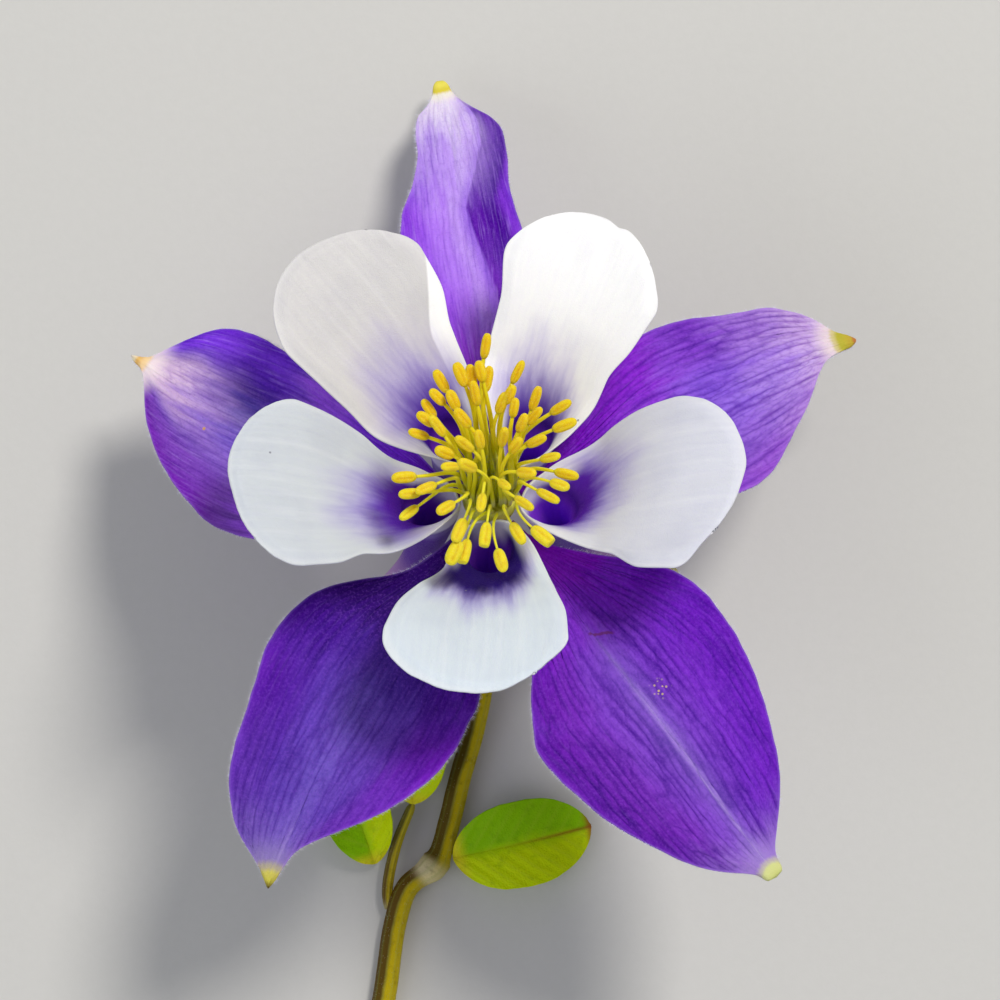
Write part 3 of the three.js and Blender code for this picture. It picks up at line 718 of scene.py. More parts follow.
class Wiring:
    """Adds nodes to a tree and links them."""

    def __init__(self, tree):
        self.tree = tree
        self.count = 0

    def put(self, kind, inputs=(), **settings):
        node = self.tree.nodes.new(kind)
        node.location = (220 * (self.count // 6), -260 * (self.count % 6))
        self.count += 1
        for name, value in settings.items():
            setattr(node, name, value)
        for socket, value in dict(inputs).items():
            self.feed(node.inputs[socket], value)
        return node

    def feed(self, socket, value):
        if isinstance(value, Varying):
            self.tree.links.new(value.socket, socket)
        else:
            socket.default_value = value

    def value(self, kind, inputs=(), output=0, **settings):
        return Varying(self, self.put(kind, inputs, **settings).outputs[output])

    def values(self, node):
        """All outputs of a node, by name."""
        return {socket.name: Varying(self, socket) for socket in node.outputs}

    def math(self, operation, *values):
        return self.value("ShaderNodeMath", enumerate(values), operation=operation)

    def mix(self, amount, first, second, blend="MIX"):
        first, second = (c if isinstance(c, Varying) else rgba(c) for c in (first, second))
        inputs = {0: amount, 6: first, 7: second}
        return self.value("ShaderNodeMix", inputs, 2, data_type="RGBA", blend_type=blend)

    def ramp(self, value, stops, reach=1.0):
        """The colour and the cover that stops of a text give, at places from 0 to reach."""
        node = self.put("ShaderNodeValToRGB", {0: value})
        node.color_ramp.interpolation = "EASE"
        stops = [stop.split() for stop in stops.split(",")]
        marks = node.color_ramp.elements
        while len(marks) < len(stops):
            marks.new(0.5)
        for point, (place, colour, *cover) in zip(marks, stops):
            point.position = float(place) / reach
            point.color = (*linear(colour), float(cover[0]) if cover else 1.0)
        return self.values(node).values()

    def mark(self, name, output="Vector"):
        return self.value("ShaderNodeAttribute", (), output, attribute_name=name)

    def split(self, vector):
        return self.values(self.put("ShaderNodeSeparateXYZ", {0: vector})).values()

    def pack(self, *parts):
        return self.value("ShaderNodeCombineXYZ", enumerate(parts))

    def place(self):
        return self.value("ShaderNodeTexCoord", (), "Object")

    def group(self, name, **inputs):
        node = self.put("ShaderNodeGroup", node_tree=bpy.data.node_groups[name])
        for socket, value in inputs.items():
            self.feed(node.inputs[socket.replace("_", " ")], value)
        return self.values(node)

    def streaks(self, lay, across, along, seed):
        return self.group("Streaks", Lay=lay, Across=across, Along=along, Seed=seed)["Value"]

    def cells(self, per_metre):
        """The value of each skin cell, and the height of its dome."""
        return self.group("Skin cells", Vector=self.place(), Cells_per_metre=per_metre).values()

    def specks(self, per_metre, share, size):
        inputs = {"Vector": self.place(), "Per_metre": per_metre, "Share": share, "Size": size}
        return self.group("Specks", **inputs)["Mask"]

    def noise(self, scale, detail=2.0, roughness=0.5, vector=None):
        inputs = {"Vector": vector or self.place(), "Scale": scale, "Detail": detail, "Roughness": roughness}
        return self.value("ShaderNodeTexNoise", inputs)

    def voronoi(self, vector, scale):
        """Three chances of each cell, as a colour, and how far off its middle is."""
        node = self.values(self.put("ShaderNodeTexVoronoi", {"Vector": vector, "Scale": scale}))
        return node["Color"], node["Distance"]

    def finish(self, shader, colour, roughness, height, depth):
        """Feeds a shader the colour, roughness and relief of a skin, its depth in millimetres."""
        relief = {"Height": height, "Distance": depth * MM, "Strength": 1.0}
        self.feed(shader["Base Color"], colour)
        self.feed(shader["Roughness"], roughness)
        self.feed(shader["Normal"], self.value("ShaderNodeBump", relief))


def new_group(name, inputs, outputs):
    """A node group with its sockets: its wiring, inputs and outputs. An input of None is a vector."""
    tree = bpy.data.node_groups.new(name, "ShaderNodeTree")
    for label, default in inputs.items():
        kind = "NodeSocketVector" if default is None else "NodeSocketFloat"
        socket = tree.interface.new_socket(label, in_out="INPUT", socket_type=kind)
        if default is not None:
            socket.default_value = default
    for label in outputs:
        tree.interface.new_socket(label, in_out="OUTPUT", socket_type="NodeSocketFloat")
    w = Wiring(tree)
    return w, w.values(w.put("NodeGroupInput")), w.put("NodeGroupOutput").inputs


def make_groups():
    """Long soft streaks along the veins, the fine cells of a skin, and a few scattered specks."""
    sockets = {"Lay": None, "Across": 1.0, "Along": 0.1, "Seed": 0.0}
    w, given, out = new_group("Streaks", sockets, ["Value"])
    x, y, _ = w.split(given["Lay"])
    drawn_out = w.pack(x * given["Across"], y * given["Along"], given["Seed"])
    w.feed(out["Value"], w.noise(1, 3.0, 0.55, drawn_out))

    sockets = {"Vector": None, "Cells per metre": 9000.0}
    w, given, out = new_group("Skin cells", sockets, ["Value", "Height"])
    chances, distance = w.voronoi(given["Vector"], given["Cells per metre"])
    chance, _, _ = w.split(chances)
    w.feed(out["Value"], chance)
    w.feed(out["Height"], distance.fade(0.0, 0.7, 1.0, 0.0))

    sockets = {"Vector": None, "Per metre": 400.0, "Share": 0.05, "Size": 0.1}
    w, given, out = new_group("Specks", sockets, ["Mask"])
    chances, distance = w.voronoi(given["Vector"], given["Per metre"])
    _, chance, _ = w.split(chances)
    dot = distance.fade(given["Size"] * 0.5, given["Size"], 1.0, 0.0)
    w.feed(out["Mask"], w.math("LESS_THAN", chance, given["Share"]) * dot)


def new_material(name, **constants):
    """A material with one Principled shader, its even values set on the shader's own sockets."""
    material = bpy.data.materials.new(name)
    material.use_nodes = True
    material.node_tree.nodes.clear()
    w = Wiring(material.node_tree)
    shader = w.put("ShaderNodeBsdfPrincipled")
    w.put("ShaderNodeOutputMaterial", {"Surface": Varying(w, shader.outputs[0])})
    for socket, value in constants.items():
        shader.inputs[socket.replace("_", " ")].default_value = value
    return material, w, shader.inputs


def sepal_material(where, look, colours):
    """Violet skin with dark sunken veins, a pale midrib near the tip and a yellowish point."""
    material, w, shader = new_material(
        f"sepal skin {where}", Subsurface_Weight=0.1, Subsurface_Radius=(0.6, 0.3, 0.9),
        Subsurface_Scale=0.0005, Specular_IOR_Level=0.05,
    )
    lay = w.mark("lay")
    side, share, vein = w.split(w.mark("part"))
    _, _, margin = w.split(lay)
    streak = w.streaks(lay, 0.9, 0.11, 2.0) - 0.5
    threads = w.streaks(lay, 3.2, 0.22, 9.0)
    uneven = threads - 0.5
    sideways = streak * 0.16 + side
    # the slant leans the stops across, so that the top sepal's painted shadow band gets a slanted edge
    for slant, way in zip(look.get("slant", ()), (-1.0, 1.0)):
        sideways = sideways - w.math("MAXIMUM", (share - SHADOW_TURN_AT) * way, 0.0) * slant
    # on some sepals these stops carry painted shadow and painted light besides the sepal's own colours
    crosswise, _ = w.ramp(sideways * 0.5 + 0.5, look["across"])
    lengthwise, cover = w.ramp(streak * look["drift"] + share, look["along"])
    if "fan" in look:
        start, end, first, last = look["fan"]
        beyond_fan = w.math("MAXIMUM", side.fade(first, last), side.fade(end, start))
        cover = cover * (1.0 - beyond_fan * share.fade(0.5, 0.62))
    # the veins, and lighter and darker threads between them; the lighter threads are partly painted glints
    deep = vein * look["lines"]
    colour = w.mix(cover, crosswise, lengthwise).dyed(colours.vein, deep)
    colour = colour.to("#c09cf4", threads.fade(0.5, 0.8, 0.0, look["threads"]))
    colour = colour.dyed("#a070d0", threads.fade(0.5, 0.25, 0.0, 0.4))
    # the pale midrib comes up towards the tip
    off_rib = uneven * 0.05 + abs(side)
    first, strength = look["rib"]
    risen = share.fade(first, first + 0.35, 0.0, strength)
    colour = colour.to("#8a70cc", off_rib.fade(0.0, 0.26, 0.4, 0.0) * risen)
    rib = off_rib.fade(0.0, 0.06, 1.0, 0.0) * risen
    colour = colour.to("#bca4e6", rib * threads.fade(0.3, 0.6, 0.35, 1.0))
    # soft patches, fine mottling, cells lightened as a faint painted glint, dust and pollen
    patches = w.noise(170, 4.0, 0.6)
    colour = colour.dyed("#9460d8", patches.fade(0.52, 0.75, 0.0, 0.3))
    colour = colour.to("#9858f0", patches.fade(0.46, 0.28, 0.0, 0.12))
    mottle = w.noise(3600, 2.0, 0.6)
    colour = colour.dyed("#9450d8", mottle.fade(0.5, 0.7, 0.0, 0.18))
    colour = colour.to("#a860f4", mottle.fade(0.5, 0.32, 0.0, 0.1))
    cell, dome = w.cells(6500.0)
    colour = colour.to("#a060f0", cell.fade(0.5, 1.0, 0.0, 0.04))
    colour = colour.to("#e6d8f0", w.specks(330.0, 0.012, 0.05))
    colour = colour.to("#d0a050", w.specks(520.0, 0.003, 0.12) * 0.9)
    if "pollen" in look:
        at_side, at_share = look["pollen"]
        off = w.pack(side - at_side, (share - at_share) * 4.0)
        near = w.value("ShaderNodeVectorMath", {0: off}, "Value", operation="LENGTH")
        colour = colour.to("#d8bc78", w.specks(2600.0, 0.5, 0.4) * near.fade(0.03, 0.12, 0.9, 0.0))
    if "scar" in look:
        at_side, at_share = look["scar"]
        aside = (side - at_side) * SCAR_HALF
        askew = aside * 0.72 + (share - at_share) * SCAR_REACH
        scar = abs(uneven * 0.5 + askew).fade(0.1, 0.24, 1.0, 0.0)
        colour = colour.to("#6c2c44", scar * abs(aside).fade(0.7, 1.15, 0.65, 0.0))
    # the margin is thin and paler, and the tip ends in a small knob
    colour = colour.to("#a882e0", margin.fade(0.04, 0.26, 0.25, 0.0))
    tip = w.mark("tip", "Fac") / TIP_ZONE
    knob, held = w.ramp(uneven * 0.1 + tip, look["tip"], TIP_ZONE)
    colour = colour.to(knob, held)
    # the back is duller, with greener veins
    behind = colour.to(colours.back, 0.4).to("#7c7a9c", deep * 0.3)
    colour = colour.to(behind, w.mark("back", "Fac"))
    w.finish(shader, colour, cell.fade(0.0, 1.0, 0.45, 0.62), dome * 0.4 + threads, 0.06)
    return material


def petal_material(where, look, colours):
    """White satin skin, violet in the throat and down the spur, with streaks where it fades."""
    material, w, shader = new_material(
        f"petal skin {where}", Subsurface_Weight=0.2, Subsurface_Radius=(1.0, 0.9, 1.1),
        Subsurface_Scale=0.0005, Specular_IOR_Level=0.2,
    )
    lay = w.mark("lay")
    side, share, vein = w.split(w.mark("part"))
    _, _, margin = w.split(lay)
    blade = share.fade(-0.02, 0.1)
    streak = w.streaks(lay, 0.9, 0.09, 4.0)
    wander = (streak - 0.5) * 0.3 + (w.streaks(lay, 0.3, 0.12, 7.0) - 0.5)
    # how far out of the throat a point lies: streaks, the two margins and the tilt count in
    reach = w.math("POWER", abs(side), 2.5) * 0.36 + share - side * look["tilt"]
    reach = reach + wander * blade * 0.22
    haze = reach.fade(look["core"], look["clear"], 1.0, 0.0)
    deep = reach.fade(look["core"] - 0.04, look["haze"] + 0.06, 1.0, 0.0)
    soft = w.noise(150, 3.0)
    colour = w.mix(soft.fade(0.42, 0.7, 0.0, 0.35), look["white"], "#e6e6ee", "MULTIPLY")
    colour = colour.to("#ffffff", streak.fade(0.5, 0.8, 0.0, 0.12))
    # a painted sunlit strip: a whiter band along part of one petal
    if "bright" in look:
        narrower = side + share.fade(0.45, 0.85, 0.0, -0.45)
        colour = colour.to("#ffffff", narrower.fade(*look["bright"]) * share.fade(0.2, 0.5))
    throat = [violet * shade for violet, shade in zip(colours.throat, linear(look["shade"]))]
    colour = colour.to(colours.haze, haze * 0.85).to(throat, deep)
    # down in the spur it looks darkest, from shade, and a lighter violet is painted there to lift it; the
    # lip by the axis stays white, painted whiter against its shade
    colour = colour.to(colours.depth, deep * share.fade(0.04, -0.14))
    lip = abs(side).fade(look["lip"], look["lip"] + LIP_WIDTH) * share.fade(-0.16, -0.04)
    colour = colour.to("#ffffff", lip * share.fade(0.3, 0.1, 0.0, 0.92))
    # faint veins, stronger where the violet begins, then dust and the paler margin
    colour = colour.dyed(colours.streak, vein * haze.fade(0.05, 0.6, 0.05, 0.25))
    colour = colour.to("#7a7886", w.specks(300.0, 0.02, 0.05) * 0.8)
    colour = colour.to("#fafaf8", margin.fade(0.1, 0.9, 0.15, 0.0) * blade)
    # the outside: white blade, a violet-pink spur whose darker violet stretch is partly painted shade, a
    # yellow-green knob
    fuzzy = (soft - 0.5) * 0.1 + share
    outside, _ = w.ramp(fuzzy * 0.5 + 0.5, PETAL_OUTSIDE)
    colour = colour.to(outside.to("#a898c8", vein * 0.2), w.mark("back", "Fac"))
    cell, dome = w.cells(8000.0)
    w.finish(shader, colour, cell.fade(0.0, 1.0, 0.45, 0.62), dome * 0.5 + streak, 0.03)
    return material


def hair_material(name, colour):
    """Fine pale hairs, some of them a little darker."""
    material, w, shader = new_material(
        name, Roughness=0.5, Subsurface_Weight=0.3, Subsurface_Scale=0.0003, Sheen_Weight=0.3
    )
    darker = [0.7 * c for c in colour]
    w.feed(shader["Base Color"], w.mix(w.noise(900, 1.0).fade(0.3, 0.7), colour, darker))
    return material


def stamen_material(colours):
    """Yellow-green filament, golden anther with a darker groove and grains of pollen."""
    material, w, shader = new_material(
        "stamen skin", Subsurface_Weight=0.6, Subsurface_Radius=(1.0, 0.8, 0.15),
        Subsurface_Scale=0.001, Specular_IOR_Level=0.15,
    )
    _, level, _ = w.split(w.mark("wrap"))
    body, ripe, groove = w.split(w.mark("anther"))
    filament, foot = w.ramp(level, FILAMENT)
    filament = w.mix(foot, colours.foot, filament)
    filament = filament.to("#ecd820", ripe * level.fade(0.1, 0.8))
    gold = w.mix(ripe, colours.lemon, colours.gold)
    gold = gold.to("#e4ac10", w.noise(1500, 3.0).fade(0.45, 0.75, 0.0, 0.3))
    gold = gold.to("#d8a80c", groove * 0.35)
    grain_value, dome = w.cells(14000.0)
    gold = gold.to("#fff08a", grain_value.fade(0.6, 1.0, 0.0, 0.3))
    height = dome * body.fade(0.0, 1.0, 0.15, 1.0)
    w.finish(shader, filament.to(gold, body), grain_value.fade(0.0, 1.0, 0.4, 0.7), height, 0.04)
    return material


def green_material(name, stops, light, dark):
    """Ribbed green skin of a stalk: colours along it, with painted light on one side and painted shade on
    the other.
    """
    material, w, shader = new_material(
        name, Subsurface_Weight=0.12, Subsurface_Radius=(0.7, 1.0, 0.3),
        Subsurface_Scale=0.0005, Specular_IOR_Level=0.1,
    )
    turn, level, _ = w.split(w.mark("wrap"))
    colour, cover = w.ramp(level, stops)
    # one side is painted lit and the other painted shade
    lit = (w.noise(220, 3.0) - 0.5) * 0.7 - w.math("SINE", turn)
    colour = w.mix(lit.fade(-0.35, 0.15), dark, light).to(colour, cover)
    ribs = w.math("SINE", turn * 9.0)
    colour = colour.to("#8f9a4c", ribs.fade(0.2, 1.0, 0.0, 0.22))
    blotch = w.noise(700, 4.0, 0.65)
    colour = colour.to(dark, blotch.fade(0.52, 0.75, 0.0, 0.4))
    _, dome = w.cells(5200.0)
    w.finish(shader, colour, blotch.fade(0.3, 0.7, 0.37, 0.57), dome + ribs, 0.03)
    return material


def leaf_material(colours):
    """Green leaflet, lit yellow-green on one half, with pale side veins and a reddish midrib."""
    material, w, shader = new_material(
        "leaflet skin", Subsurface_Weight=0.15, Subsurface_Radius=(0.6, 1.0, 0.2),
        Subsurface_Scale=0.0006, Specular_IOR_Level=0.08,
    )
    side, share, vein = w.split(w.mark("part"))
    across = (w.noise(200, 3.0) - 0.5) * 0.5 + side
    colour = w.mix(across.fade(-0.25, 0.35), colours.shaded, colours.lit)
    colour = colour.to("#d8d020", share.fade(0.14, 0.02))
    colour = colour.to("#c0cc40", vein * 0.15)
    rib = abs(w.mark("aside", "Fac")).fade(0.1, 0.42, 1.0, 0.0)
    colour = colour.to("#a06018", rib * share.fade(0.3, 0.9, 0.1, 0.7))
    colour = colour.to("#9a4c20", share.fade(0.93, 1.0, 0.0, 0.85))
    colour = colour.to("#649404", w.noise(900, 4.0, 0.6).fade(0.5, 0.75, 0.0, 0.3))
    colour = colour.to(colour.to("#a4b48a", 0.55), w.mark("back", "Fac"))
    cell, dome = w.cells(4200.0)
    w.finish(shader, colour, cell.fade(0.0, 1.0, 0.42, 0.6), dome, 0.03)
    return material


# ---- sepals ----
def sepal_surface(sepal, side, share, seed):
    """Points and normals of a sepal's middle layer, and the measures its finish needs."""
    root, near, far, tip = sepal["clock"]
    point, along = bezier([
        on_face(root, SEPAL_ROOT, -SEPAL_DEPTH),
        on_face(near, 0.36 * sepal["reach"], -SEPAL_DEPTH),
        on_face(far, 0.7 * sepal["reach"], -1.25 * SEPAL_DEPTH),
        on_face(tip, sepal["reach"], -SEPAL_DROP),
    ], share)
    left, right = (
        rounded(SEPAL_STATIONS, SEPAL_FOOT + sepal[name], share, sepal["blunt"])
        for name in ("left", "right")
    )
    waver = 1 + 0.008 * ripple(share * 30, seed + np.sign(side)) * smooth(share / 0.2)
    half = np.where(side < 0, left, right) * waver
    clock = root + (tip - root) * smooth(share)
    curvature = (1 - smooth(share / 0.35)) / SEPAL_CHANNEL + smooth(share / 0.3) / SEPAL_HOLLOW
    curvature = curvature + sepal.get("curl", 0) * smooth((share - 0.3) / 0.3)
    across, front = blade_frame(along, clock)
    aside = side * half
    point, normal = on_section(point, across, front, curvature, aside)
    return dict(point=point, normal=normal, across=across, aside=aside, half=half,
                mean=(left + right) / 2, along=share * sepal["reach"])


def vein_spread(mean, share):
    """How far the veins have fanned out: with the blade at first, then much less back in."""
    order = np.argsort(share)
    top = np.empty_like(mean)
    top[order] = np.maximum.accumulate(mean[order])
    return mean ** 0.35 * top ** 0.65


def sepal_swell(s, side, share, seed):
    """Broad bulges of the blade and waves of its margins, in millimetres."""
    broad = 0.5 * grain(s["along"] * 0.09, s["aside"] * 0.11, seed + 3) * smooth(share / 0.25)
    wave = ripple(s["along"] * 0.32, seed + np.sign(side)) * smooth(share / 0.2)
    return broad + 0.3 * wave * side ** 4 * smooth((s["half"] - 0.8) / 3.5)


def sepal_piece(where, sepal, seed, sizes, material, hairs):
    piece, side, row = new_grid(f"{where}_sepal", SEPAL_COLUMNS, SEPAL_ROWS, material)
    share = 1 - (1 - row / SEPAL_ROWS) ** 1.1
    side = np.sign(side) * (1 - (1 - np.abs(side)) ** 1.08)
    s = sepal_surface(sepal, side, share, seed)
    spread = vein_spread(s["mean"], share)
    spacing = sizes.vein_spacing / MM
    number = spread.max() / spacing * s["aside"] / np.maximum(spread, 0.01)
    tip = np.hypot(s["aside"], (1 - share) * sepal["reach"])
    spaced = smooth((spacing * spread / spread.max() - 0.1) / 0.3)
    vein = vein_pattern(number, s["along"], seed) * spaced
    vein = vein * smooth((tip - TIP_KNOB) / 3) * (0.35 + 0.65 * smooth((1 - np.abs(side)) / 0.12))
    between = grain(number * 1.3, s["along"] * 0.5, seed + 2)
    depth = sizes.vein_depth / MM * sepal["relief"]
    relief = sepal_swell(s, side, share, seed)
    relief += 0.4 * depth * between * smooth((tip - 0.5 * TIP_KNOB) / 2) - depth * vein
    relief -= 0.2 * hill(s["aside"], 0, 0.6) * smooth(share / 0.1) * smooth((0.94 - share) / 0.1)
    set_coordinates(piece, from_flower(s["point"] + scaled(s["normal"], relief)))
    margin = np.minimum((1 - np.abs(side)) * s["half"], (1 - share) * sepal["reach"])
    mark(piece, "lay", number, s["along"], margin)
    mark(piece, "part", side, share, vein)
    mark(piece, "tip", tip)
    knob = smooth((TIP_KNOB + 0.3 - tip) / 0.6)
    body = 0.16 + 0.24 * smooth(margin / 1.6) + 0.2 * hill(s["aside"], 0, 0.8)
    dome = 0.12 + 0.88 * np.sqrt(1 - (1 - margin / 0.6).clip(0) ** 2)
    give_thickness(piece, SEPAL_THICKNESS, body * (1 - knob) + knob * dome)
    joined(piece, sepal_fringe(where, sepal, seed, hairs))
    settle(piece, "sepal", f"sepal_{where}")


def sepal_fringe(where, sepal, seed, hairs):
    """Short pale hairs along both margins."""
    draw = np.random.default_rng(seed)
    share = draw.uniform(0.12, 0.985, FRINGE_HAIRS)
    side = draw.choice([-1.0, 1.0], FRINGE_HAIRS)
    s = sepal_surface(sepal, side, share, seed)
    lean = draw.normal(0, 0.35, (FRINGE_HAIRS, 3))
    tilt = 0.35 * scaled(s["normal"], draw.uniform(-1, 1, FRINGE_HAIRS))
    out = unit(scaled(s["across"], side) + tilt + lean)
    length = draw.uniform(0.2, 0.55, FRINGE_HAIRS)
    swell = sepal_swell(s, side, share, seed)
    root = s["point"] + scaled(s["normal"], swell) - scaled(s["across"], 0.05 * side)
    tip = root + scaled(out, length)
    return fur(f"{where}_fringe", from_flower(root), from_flower(tip), FRINGE_RADIUS * MM, hairs)


# ---- petals ----
def petal_blade(petal, side, share, aside):
    """Points and normals of the blade, from a full ring at the mouth to an open, cupped end."""
    root = on_face(petal["mouth"], MOUTH_FROM_AXIS + MOUTH_RADIUS, 0)
    pitch = math.radians(BLADE_PITCH)
    near = petal["reach"] - BLADE_END * math.cos(pitch)
    low = petal["rise"] - BLADE_END * math.sin(pitch)
    point, along = bezier([
        root, root + np.array([0, 0, BLADE_START]), on_face(petal["tip"], near, low),
        on_face(petal["tip"], petal["reach"], petal["rise"]),
    ], share)
    clock = petal["mouth"] + (petal["tip"] - petal["mouth"]) * smooth(share)
    across, front = blade_frame(along, clock)
    ring = (1 - smooth(share / RING_OPENS)) ** 1.3 / MOUTH_RADIUS
    cup = smooth(share / 0.3) * (1 - 0.55 * share) / BLADE_CUP
    squeeze = MOUTH_SQUEEZE + (1 - MOUTH_SQUEEZE) * smooth(share / 0.35)
    return on_section(point, across, front, ring + cup, aside, squeeze)


def petal_half(petal, side, share):
    left, right = (
        through(FLANK_STATIONS, [math.pi * MOUTH_RADIUS, *petal[name]], share)
        for name in ("left", "right")
    )
    return np.where(side < 0, left, right)


def petal_outline(petal, side, row, seed):
    """The unrolled blade: its outer end is half an ellipse, and rows and columns bend with it.

    The ellipse starts with the slope that the flanks end with.
    """
    flank = BLADE_SHOULDER * np.clip(row / FLANK_ROWS, 0, 1)
    flank_aside = side * petal_half(petal, side, flank)
    q = np.clip((row - FLANK_ROWS) / END_ROWS, 0, 1)
    corner = np.where(side < 0, *petal["corner"])
    full = 1 + (corner - 1) * 2 * np.abs(side) * smooth(q / 0.8)
    step = 0.02
    half = petal_half(petal, side, np.full_like(side, BLADE_SHOULDER))
    before = petal_half(petal, side, np.full_like(side, BLADE_SHOULDER - step))
    widening = (half - before) / step * (1 - BLADE_SHOULDER) / half * np.sqrt(1 - side * side / 2)
    across = side * np.sqrt(1 - q * q / 2) * full * (1 + widening * q * (1 - q) ** 2)
    along = q * np.sqrt(1 - side * side / 2) * full
    around = np.arctan2(across, along) / (math.pi / 2)
    out = np.hypot(across, along)
    nick = sum(depth * hill(around, place, width) for place, depth, width in petal["dents"])
    nick = (nick + 0.006 * ripple(around * 9, seed)) * out ** 4 * smooth(q / 0.2)
    across, along = across * (1 - nick), along * (1 - nick)
    end = q > 0
    share = np.where(end, BLADE_SHOULDER + (1 - BLADE_SHOULDER) * along, flank)
    aside = np.where(end, across * half, flank_aside)
    margin = np.where(end, (1 - out).clip(0), 1 - np.abs(side)) * half
    return share, aside, margin


def petal_spur(petal, side, back):
    """Points of the hollow spur, at shares of its length from its mouth."""
    clock, spread, depth = petal["spur"]
    point, along = bezier([
        on_face(petal["mouth"], MOUTH_FROM_AXIS, 0),
        on_face(petal["mouth"], MOUTH_FROM_AXIS, -0.3 * depth),
        on_face(petal["mouth"], MOUTH_FROM_AXIS + 0.15 * (spread - MOUTH_FROM_AXIS), -0.7 * depth),
        on_face(clock, spread, -depth),
    ], back)
    across, front = blade_frame(along, np.full_like(back, petal["mouth"]))
    squeeze = MOUTH_SQUEEZE + (1 - MOUTH_SQUEEZE) * smooth(back / 0.3)
    radius = through(SPUR_STATIONS, SPUR_RADII, back)
    radius = radius * (1 + 0.012 * np.cos(8 * math.pi * side) * smooth(back / 0.1))
    turn = math.pi * side
    out = scaled(front, np.cos(turn)) + scaled(across, np.sin(turn) * squeeze)
    return point + scaled(out, radius)


def petal_piece(where, petal, seed, sizes, material):
    rows = SPUR_ROWS + FLANK_ROWS + END_ROWS
    piece, side, row = new_grid(f"{where}_petal", PETAL_COLUMNS, rows, material)
    back = np.sin(0.5 * math.pi * np.clip(1 - row / SPUR_ROWS, 0, 1))
    share, aside, margin = petal_outline(petal, side, row - SPUR_ROWS, seed)
    point, normal = petal_blade(petal, side, share, aside)
    blade = row >= SPUR_ROWS
    mean = sum(petal_half(petal, way, np.minimum(share, BLADE_SHOULDER)) for way in (-1, 1)) / 2
    along = share * 1.15 * (petal["reach"] - MOUTH_FROM_AXIS)
    number = np.where(blade, PETAL_VEINS * aside / mean, PETAL_VEINS * side)
    vein = vein_pattern(number, along, seed) * smooth((share - 0.02) / 0.1)
    open_blade = smooth((share - 0.1) / 0.3)
    relief = -sizes.vein_depth / MM * vein * open_blade
    relief += 0.32 * grain(along * 0.11, aside * 0.12, seed + 3) * open_blade
    relief += 0.18 * ripple(aside * 0.5 + along * 0.12, seed) * smooth((share - 0.6) / 0.4)
    pleat = PETAL_COLOURS[where]["pleat"] * smooth((share - 0.5) / 0.4)
    relief += pleat * ripple(number * 4.2 + 2 * grain(number * 0.2, along * 0.12, seed), seed)
    curl = smooth(1 - margin / 1.8) * smooth((share - 0.3) / 0.3)
    relief -= sizes.rim_curl / MM * curl ** 2
    point = point + scaled(normal, relief)
    whole = np.where(blade[:, None], point, petal_spur(petal, side, back))
    set_coordinates(piece, from_flower(whole))
    mark(piece, "lay", number, np.where(blade, along, -25 * back), margin)
    mark(piece, "part", side, np.where(blade, share, -back), vein)
    body = 0.38 + 0.62 * smooth(margin / 1.5)
    thin_lip = smooth((share - 0.02) / 0.1)
    skin = np.where(blade, body * thin_lip + 0.6 * (1 - thin_lip), 0.8)
    give_thickness(piece, PETAL_THICKNESS, skin)
    settle(piece, "petal", f"petal_{where}")


# ---- the middle of the flower ----
def receptacle_piece(material):
    """The domed seat of all the parts: it carries the stamens, and the stem ends in it."""
    piece = drawn_up("flower_seat", SEAT_PROFILE, 40, material)
    height = SEAT_PROFILE[-1][1]
    axis = from_flower([[0, 0, SEAT_BASE], [0, 0, SEAT_BASE + height]])
    bend_along(piece, height, axis, (0, 1, 0))
    settle(piece, "pistil", "receptacle")


def carpel_model(material, hairs):
    """One upright pistil: a downy ovary that narrows to a slim style with a small stigma."""
    piece = drawn_up("pistil_model", PISTIL_PROFILE, 16, material)
    return joined(piece, down_round("pistil_down", PISTIL_PROFILE, hairs, **PISTIL_DOWN))


def carpel_pieces(material, hairs):
    model = carpel_model(material, hairs)
    for i in range(CARPELS):
        clock = 360 * i / CARPELS
        line, _ = bezier([
            on_face(clock, CARPEL_RING, STAMEN_FOOT - 0.15),
            on_face(clock, 1.1 * CARPEL_RING, 0.6 * CARPEL_HEIGHT),
            on_face(clock, 1.3 * CARPEL_RING, CARPEL_HEIGHT),
        ], np.linspace(0, 1, 40))
        piece = copied(model, f"pistil_{i + 1}")
        bend_along(piece, CARPEL_HEIGHT, from_flower(line), leaned(on_face(clock, 1, 0)))
        settle(piece, "pistil", f"carpel_{i + 1}")
    bpy.data.objects.remove(model)


def anther_end(x, up, i):
    """Where a stamen ends, from where its anther shows. Every second one is a bit longer."""
    length = STAMEN_LENGTH + STAMEN_SLOPE * up + (0.5 if i % 2 else -0.5)
    out = math.sqrt(length ** 2 - x ** 2 - up ** 2)
    cos, sin = math.cos(math.radians(FACE_LEAN)), math.sin(math.radians(FACE_LEAN))
    end = np.array([x, up * cos - out * sin, up * sin + out * cos])
    return end * (1 + 0.5 * ANTHER_LENGTH / length)


def turn_of(point):
    return math.degrees(math.atan2(point[0], point[1]))


